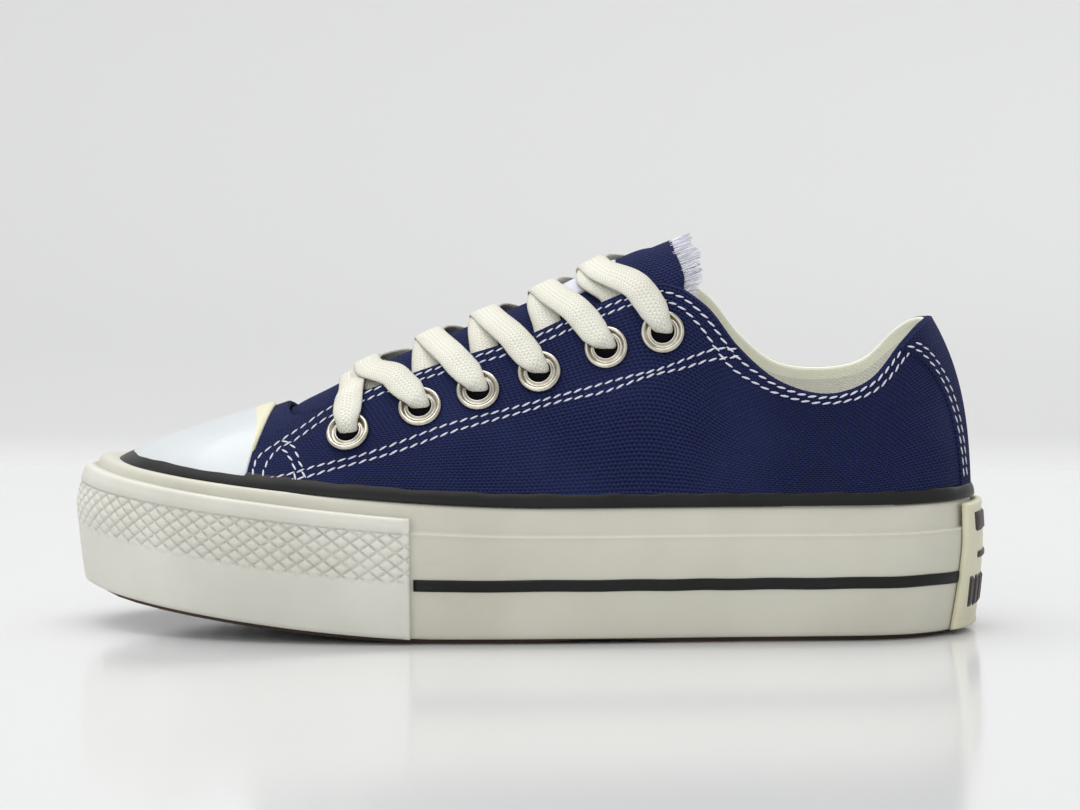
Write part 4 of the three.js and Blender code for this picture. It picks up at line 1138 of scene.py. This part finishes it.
def tongueKnots(station, depth):
    look = tongueLook
    space = look["laceSpace"] + (0.3 - look["laceSpace"]) * smoothStep(station, 12.8, 14)

    def under(at, distance):
        share = shareBelowEdge(at, distance)
        return upperSurface(at, share, -sizes["wall"] - space - depth)

    sides = []
    for at in (np.asarray(station, float), loopStations - np.asarray(station, float)):
        sides.append(np.stack([under(at, look["tuck"] * k) for k in (1, 0.5, 0)], axis=-2))
    outer, inner = sides
    crown = look["crown"] * around(station, "crown")
    dome = [outer[..., 2, :] * (1 - k) + inner[..., 2, :] * k + tongueRise * (crown * h)[..., None]
            for k, h in ((0.25, 0.78), (0.5, 1), (0.75, 0.78))]
    return np.concatenate((outer, np.stack(dome, axis=-2), inner[..., ::-1, :]), axis=-2)


knownLines = {}


def tongueLine(station, depth):
    key = (round(station, 5), round(depth, 3))
    if key not in knownLines:
        knownLines[key] = tongueKnots(np.array(station), depth)
    return knownLines[key]


# The tongue's line at a station. Past the throat's corner it runs on straight and narrows.
def tongueAcross(station, across, depth):
    line = throughKnots(tongueLine(float(max(station, tongueLook["corner"])), float(depth)), across)
    past = (tongueLook["corner"] - station) * tongueLook["end"]
    if past > 0:
        line = line + tongueAlong * past
        line[..., 1] *= 1 - tongueLook["narrowing"] * past / tongueLook["end"]
    return line


def tonguePoint(station, across, depth=0.0):
    station, across = floats(station, across)
    found = np.empty(station.shape + (3,))
    for index in np.ndindex(station.shape):
        found[index] = tongueAcross(station[index], np.array(across[index]), depth)
    return found


def tongueOffset(station, across, distance):
    reach = 0.03
    low = tonguePoint(station, max(0, across - reach))
    high = tonguePoint(station, min(1, across + reach))
    forward = tonguePoint(station - reach, across) - tonguePoint(station + reach, across)
    normal = -unit(np.cross(high - low, forward))
    return tonguePoint(station, across) + normal * distance, normal


def makeTongue():
    look = tongueLook
    front = look["front"]
    stations = np.concatenate(([front], np.linspace(front, clothEnd, look["rows"]), [clothEnd]))
    across = np.linspace(0, 1, look["columns"])
    top = np.array([tongueAcross(station, across, 0) for station in stations])
    under = np.array([tongueAcross(station, across[::-1], look["thickness"]) for station in stations])
    middle = (top + under[:, ::-1]) / 2
    top[[0, -1]], under[[0, -1]] = middle[[0, -1]], middle[[0, -1]][:, ::-1]
    piece = gridObject("tongueCloth", closedRows(top, under), [canvasCloth, liningCloth], False, True,
                       materialOf=lambda row, column: 0 if column < look["columns"] else 1)
    dress(piece, "canvas", "tongue")


# Bare patch on the tongue: its ends in stations before the corner, half its width as a share of the tongue's
patchSizes = {
    "low": 1.5, "high": 0.58, "half": 0.157, "counts": (24, 24), "edge": 0.1, "top": 0.42, "under": -0.2,
}


def makeTonguePatch():
    look = patchSizes
    spans, crosses = look["counts"]
    stations = np.linspace(tongueLook["corner"] + look["low"], tongueLook["corner"] + look["high"], spans)
    across = np.linspace(0.5 - look["half"], 0.5 + look["half"], crosses)
    near = np.minimum.outer(toNearEnd(spans), toNearEnd(crosses))

    def layer(lift):
        lifts = np.where(near == 0, look["edge"], lift)
        return np.array([[tongueOffset(s, a, lifts[i, j])[0] for j, a in enumerate(across)]
                         for i, s in enumerate(stations)])

    skin = closedSkin(layer(look["top"]), layer(look["under"]))
    piece = gridObject("tonguePatch", skin, [patchCloth], False, True)
    dress(piece, "label_cloth", "tongue_label")


# Frayed threads along the tongue's cut end
def makeFringe():
    look = tongueLook
    rng = random.Random(7)
    form = bmesh.new()
    for k in range(look["threads"]):
        across = 0.1 + 0.8 * (k + 0.5) / look["threads"] + rng.uniform(-0.001, 0.001)
        depth = rng.uniform(0.2, 1.6)
        bunch = math.sin(k * 0.9) * 0.5
        length = look["fringe"] * (0.88 + 0.1 * math.sin(k * 0.35) + rng.uniform(-0.05, 0.05))
        base = tonguePoint(clothEnd + 0.05, across, depth)
        side = unit(tonguePoint(clothEnd, across + 0.01, depth) - tonguePoint(clothEnd, across - 0.01, depth))
        knots = np.array([base + tongueAlong * length * t
                          + side * (bunch * t * t + rng.uniform(-0.12, 0.12) * t)
                          + tongueRise * rng.uniform(-0.25, 0.1) * t for t in (0, 0.35, 0.7, 1)])
        addThread(form, throughKnots(knots, np.linspace(0, 1, 6)), 0.2, 0.1)
    smoothFaces(form)
    piece = finishObject("tongueFringe", form, [fringeThread])
    dress(piece, "label_cloth")


def addThread(form, line, radius, tipRadius, sides=5):
    rings = []
    for k, place in enumerate(line):
        before, after = line[max(k - 1, 0)], line[min(k + 1, len(line) - 1)]
        size = radius + (tipRadius - radius) * k / (len(line) - 1)
        rings.append(bmesh.ops.create_circle(form, segments=sides, radius=size * metre,
                                             matrix=placedAt(place, after - before))["verts"])
    edges = [[form.edges.get((ring[i - 1], ring[i])) for i in range(sides)] for ring in rings]
    for one, other in zip(edges, edges[1:]):
        bmesh.ops.bridge_loops(form, edges=one + other)
    form.faces.new(rings[0])
    form.faces.new(rings[-1])


makeTongue()
makeTonguePatch()
print("tongue made")

# ---- lace ----

laceSizes = {
    "width": 8.5, "thickness": 1.5, "gather": 0.74, "cover": 0.35, "edgeLift": 1.85, "flangeLift": 2.9,
    "barRoom": 0.4, "seat": 0.85, "layer": 1.6, "steps": 110, "section": 14,
    "edges": (0.42, 0.54, 0.52, 0.5, 0.4),
    "peaks": (-0.1, 0.34, 0.3, 0.25, 0), "flatness": 0.55, "roundness": 0.8,
    # where a crossing comes out from under its eyestay: share across the tongue, share of its width
    "hidden": ((0.12, 0.8), (0.2, 1), (0.27, 1)), "hiddenLift": 1.2,
}


# A flat woven strap along knots: (place, facing, share of its width, share of its thickness)
def laceStrap(knots, name, *nodeNames):
    look = laceSizes
    places, normals, widths, thicknesses = (np.array([k[i] for k in knots], float) for i in range(4))
    shares = np.linspace(0, 1, look["steps"])
    line = throughKnots(places, shares)
    facing = throughKnots(normals, shares)
    spread = np.linspace(0, 1, len(knots))
    width = np.interp(shares, spread, widths) * look["width"] / 2
    thick = np.interp(shares, spread, thicknesses) * look["thickness"] / 2
    travel = unit(np.gradient(line, axis=0))
    sideways = unit(np.cross(travel, facing))
    normal = unit(np.cross(sideways, travel))
    turns = np.linspace(0, 2 * math.pi, look["section"] * 2 + 1)
    flat = np.sign(np.cos(turns)) * np.abs(np.cos(turns)) ** look["flatness"]
    tall = np.sign(np.sin(turns)) * np.abs(np.sin(turns)) ** look["roundness"]
    rows = (line[:, None] + sideways[:, None] * (flat[None, :] * width[:, None])[..., None]
            + normal[:, None] * (tall[None, :] * thick[:, None])[..., None])
    walked = walkedAlong(line)
    girth = turns / (2 * math.pi) * look["width"] * 2.1
    uv = np.stack(np.meshgrid(walked, girth, indexing="ij"), axis=-1)
    piece = gridObject(name, rows, [laceCloth], False, True, uv=uv)
    dress(piece, "lace_cotton", *nodeNames)
    return walked[-1]


def overTongue(station, across, layer):
    lift = laceSizes["cover"] + laceSizes["seat"] + layer * laceSizes["layer"]
    place, normal = tongueOffset(station, across, lift)
    return place, normal, 1, 1


def overEyestay(station, distance, lift, width=1.0, thick=1.0):
    share = float(shareBelowEdge(np.array(float(station)), np.array(float(distance))))
    return upperSurface(station, share, lift), upperNormal(station, share), width, thick


def intoEyelet(place, fromStation):
    look = laceSizes
    normal, middle = place["normal"], place["middle"]
    climb = unit(upperBare(place["station"], min(place["share"] + 0.05, 1)) - middle)
    bend, near, dip = (place["station"] + (fromStation - place["station"]) * k for k in (0.66, 0.36, 0.1))
    inward = unit(climb * 0.9 - normal * 0.5)
    return [
        overEyestay(fromStation, 0.2, look["edgeLift"]),
        overEyestay(bend, 0.34 * place["setback"], look["flangeLift"] - 0.4, 1.04),
        overEyestay(near, place["setback"] - 5.6, look["flangeLift"]),
        (overEyestay(dip, place["setback"] - 2.2, 2.7)[0], normal, look["gather"], 1.25),
        (middle + climb * 0.7 + normal * 0.9, unit(normal * 0.4 - climb), 0.68, 1.4),
        (middle + climb * 0.6 - normal * 2.2, -climb, 0.62, 1.5),
        (middle + inward * 4.0 - normal * 4.0, -normal, 0.7, 1.2),
    ]


def laceBar():
    outer, inner = eyeletPlace(1, "outer"), eyeletPlace(1, "inner")
    station = outer["station"]
    return [
        *intoEyelet(outer, station)[::-1],
        overTongue(station, 0.34, 0.6), overTongue(station, 0.5, 0), overTongue(station, 0.66, 0.6),
        *intoEyelet(inner, loopStations - station),
    ]


def laceCrossing(number, toInner, layer):
    begin = eyeletPlace(number, "outer" if toInner else "inner")
    goal = eyeletPlace(number + 1, "inner" if toInner else "outer")
    start = min(begin["station"], loopStations - begin["station"])
    end = min(goal["station"], loopStations - goal["station"])
    look = laceSizes
    room = look["barRoom"] if number == 1 else 0

    def at(share):
        return start + (end - start) * (room + (1 - room) * share)

    def across(share):
        return share if toInner else 1 - share

    edge = at(look["edges"][number - 1])
    edge = loopStations - edge if toInner else edge
    peak = look["peaks"][number - 1]
    return [
        *((*tongueOffset(at(0.03), across(k), look["hiddenLift"]), w, 1) for k, w in look["hidden"]),
        overTongue(at(peak - 0.2), across(0.38), 0.5 * layer),
        overTongue(at(peak - 0.13), across(0.5), layer), overTongue(at(peak), across(0.64), 1.3),
        *intoEyelet(goal, edge),
    ]


laceLength = laceStrap(laceBar(), "laceBar", "lace_bar")
for number in range(1, eyeletLook["count"]):
    laceLength += laceStrap(laceCrossing(number, True, 0.5), f"laceUnder{number}")
    laceLength += laceStrap(laceCrossing(number, False, 1), f"laceOver{number}", f"lace_cross_{number}")
print(f"lace made, {laceLength:.0f} mm of it in sight and in the eyelets")

makeFringe()

# ---- stitching ----

stitchLook = {
    "pitch": 3.05, "length": 2.85, "width": 0.62, "height": 0.42, "lift": 0.95, "slant": 12,
    "stripLift": 0.55, "stripInsets": (1.8, 4.6),
}
# Each row of stitches runs through stations and shares of the wall
edgeRow = (
    (13.8, 0.1), (13.85, 0.33), (13.65, 0.52), (13.35, 0.7), (12.85, 0.91), (12.35, 0.945), (11.5, 0.95),
    (10.5, 0.952), (9.5, 0.955), (8.15, 0.955), (7.8, 0.955), (7.4, 0.955), (7.15, 0.95), (6.8, 0.94),
    (6.35, 0.935), (5.85, 0.935), (5.45, 0.945), (4.9, 0.955), (4.25, 0.963), (3.75, 0.965), (3.2, 0.963),
    (2.65, 0.963), (2, 0.965), (1.6, 0.968), (1.3, 0.97),
)
secondRow = (
    (13.65, 0.1), (13.65, 0.3), (13.55, 0.46), (13.35, 0.55), (13, 0.73), (12.8, 0.8), (12.3, 0.86),
    (11.95, 0.885), (11.45, 0.9), (10.5, 0.905), (9.5, 0.91), (8.5, 0.92), (8.05, 0.92), (7.75, 0.915),
    (7.45, 0.91), (7.1, 0.89), (6.75, 0.865), (6.35, 0.85), (5.85, 0.855), (5.5, 0.875), (4.9, 0.9),
    (4.25, 0.915), (3.65, 0.917), (3.1, 0.905), (2.45, 0.9), (1.95, 0.915), (1.5, 0.93),
)
lowRow = (
    (13.6, 0.09), (13.3, 0.16), (12.85, 0.265), (11.95, 0.39), (11, 0.515), (10.05, 0.565), (8.9, 0.575),
    (7.85, 0.605), (7, 0.75), (6.5, 0.87), (6.02, 0.975),
)
lowSecondRow = (
    (13.3, 0.09), (13, 0.15), (12.55, 0.245), (11.7, 0.36), (10.75, 0.48), (9.75, 0.535), (8.55, 0.54),
    (7.4, 0.635), (6.6, 0.79), (5.95, 0.95),
)
arcRow = ((13.6, 0.57), (13.3, 0.48), (13.15, 0.33), (13, 0.12))
arcSecondRow = ((13.5, 0.46), (13.35, 0.38), (13.2, 0.24), (13.15, 0.09))


def stitchRow(form, path, lift, rng):
    look = stitchLook
    knots = np.array([(s, v, 0) for s, v in path], float)
    line = throughKnots(knots, np.linspace(0, 1, 60 * len(path)))
    places = upperSurface(line[:, 0], np.clip(line[:, 1], 0, 1), lift + canvasRelief(line[:, 0], line[:, 1]))
    walked = walkedAlong(places)
    count = int(walked[-1] / look["pitch"])
    for k in range(count):
        middle = (k + 0.5) * walked[-1] / count
        here, station, share = (np.array([np.interp(middle, walked, column) for column in values.T])
                                for values in (places, line[:, :1], line[:, 1:2]))
        ahead = np.array([np.interp(middle + 0.4, walked, column) for column in places.T])
        normal = upperNormal(station[0], share[0])
        travel = unit(ahead - here)
        sideways = unit(np.cross(normal, travel))
        angle = math.radians(look["slant"] + rng.uniform(-3, 3))
        travel, sideways = (travel * math.cos(angle) + sideways * math.sin(angle),
                            sideways * math.cos(angle) - travel * math.sin(angle))
        size = (look["length"] / 2 * rng.uniform(0.94, 1.05), look["width"] / 2, look["height"] / 2)
        axes = Matrix([(*(axis * length * metre),) for axis, length in zip((travel, sideways, normal), size)])
        matrix = Matrix.Translation(Vector(here * metre)) @ axes.transposed().to_4x4()
        bmesh.ops.create_uvsphere(form, u_segments=8, v_segments=4, radius=1, matrix=matrix)


def makeStitches():
    rng = random.Random(3)
    for side in ("outer", "inner"):
        form = bmesh.new()
        for path in (edgeRow, secondRow, lowRow, lowSecondRow, arcRow, arcSecondRow):
            stitchRow(form, [(along(s, side), v) for s, v in path], stitchLook["lift"], rng)
        stripLift = stripLook["base"] + stripLook["thickness"] + stitchLook["stripLift"]
        for inset in stitchLook["stripInsets"]:
            levels = np.linspace(0.1, 0.985 - inset * 0.008, 9)
            edge = stripStation(levels)
            back = upperBare(edge, levels)
            perStation = np.linalg.norm(upperBare(edge + small, levels) - back, axis=-1) / small
            inside = edge - inset / perStation
            stitchRow(form, [(along(s, side), v) for s, v in zip(inside, levels)], stripLift, rng)
        smoothFaces(form)
        piece = finishObject(side + "Stitches", form, [stitchThread])
        dress(piece, "label_cloth")


makeStitches()
print("stitches made")

# ---- what the frame's own nodes wear ----

for nodeName, material in (("outsole", treadRubber), ("midsole", creamRubber)):
    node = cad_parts[nodeName]
    node.data.materials.clear()
    node.data.materials.append(material)


# ---- floor, backdrop and light ----

studioLook = {
    "table": (0.72, 0.722, 0.728), "wall": (0.545, 0.545, 0.545), "farWall": (0.785, 0.785, 0.785),
    "fadeStart": 0.3, "fadeEnd": 2.1, "tableEnd": 0.52, "blend": 0.12, "halfWidth": 5,
    "front": -4, "curveStart": 1.2, "curve": 1.2, "wallHeight": 3.5, "columns": 8, "rows": 60,
}
lamps = (
    # name, place, size, power, colour
    ("overhead", (-0.25, 0.1, 1.3), 1.3, 13, (1, 0.995, 0.985)),
    ("frontFill", (-0.6, -1.6, 0.8), 1.2, 5, (1, 1, 1)),
    ("backFill", (0.9, 1.3, 1.0), 1.0, 4, (0.97, 0.98, 1)),
)


# A table and a wall behind it in one sweep
def makeStudio():
    look = studioLook
    material, nodes, links, shader = newMaterial("paleBoard")
    parts = addNode(nodes, "SeparateXYZ")
    links.new(addNode(nodes, "TexCoord").outputs["Object"], parts.inputs[0])
    away = rampValue(nodes, links, parts.outputs[1],
                     look["tableEnd"] - look["blend"], look["tableEnd"] + look["blend"])
    # The wall is darker near the table and lighter farther back and up the sweep: painted shade and light on
    # the backdrop
    fade = rampValue(nodes, links, parts.outputs[1], look["fadeStart"], look["fadeEnd"])
    wall = mixColor(nodes, links, fade, look["wall"], look["farWall"])
    links.new(mixColor(nodes, links, away, look["table"], wall), shader.inputs["Base Color"])
    links.new(mathNode(nodes, links, "MULTIPLY_ADD", away, 0.6, 0.14), shader.inputs["Roughness"])
    setSockets(shader, **{"Specular IOR Level": 0.35})
    form = bmesh.new()
    bmesh.ops.create_grid(form, x_segments=look["columns"], y_segments=look["rows"], size=1)
    flat, arc = look["curveStart"] - look["front"], look["curve"] * math.pi / 2
    for vert in form.verts:
        walked = (vert.co.y + 1) / 2 * (flat + arc + look["wallHeight"])
        turn = min(max(walked - flat, 0), arc) / look["curve"]
        vert.co = (vert.co.x * look["halfWidth"],
                   look["front"] + min(walked, flat) + look["curve"] * math.sin(turn),
                   look["curve"] * (1 - math.cos(turn)) + max(walked - flat - arc, 0))
    smoothFaces(form)
    finishObject("studioSweep", form, [material])
    world = bpy.data.worlds.new("studioAir")
    world.use_nodes = True
    setSockets(world.node_tree.nodes["Background"], Color=(0.97, 0.975, 0.98, 1), Strength=0.8)
    bpy.context.scene.world = world
    bpy.context.scene.view_settings.view_transform = "Standard"
    for name, place, size, power, color in lamps:
        lamp = bpy.data.lights.new(name, "AREA")
        lamp.size, lamp.energy, lamp.color = size, power, color
        light = newObject(name, lamp)
        light.location = place
        light.rotation_euler = (Vector((0, 0, 0.05)) - Vector(place)).to_track_quat("-Z", "Y").to_euler()


makeStudio()
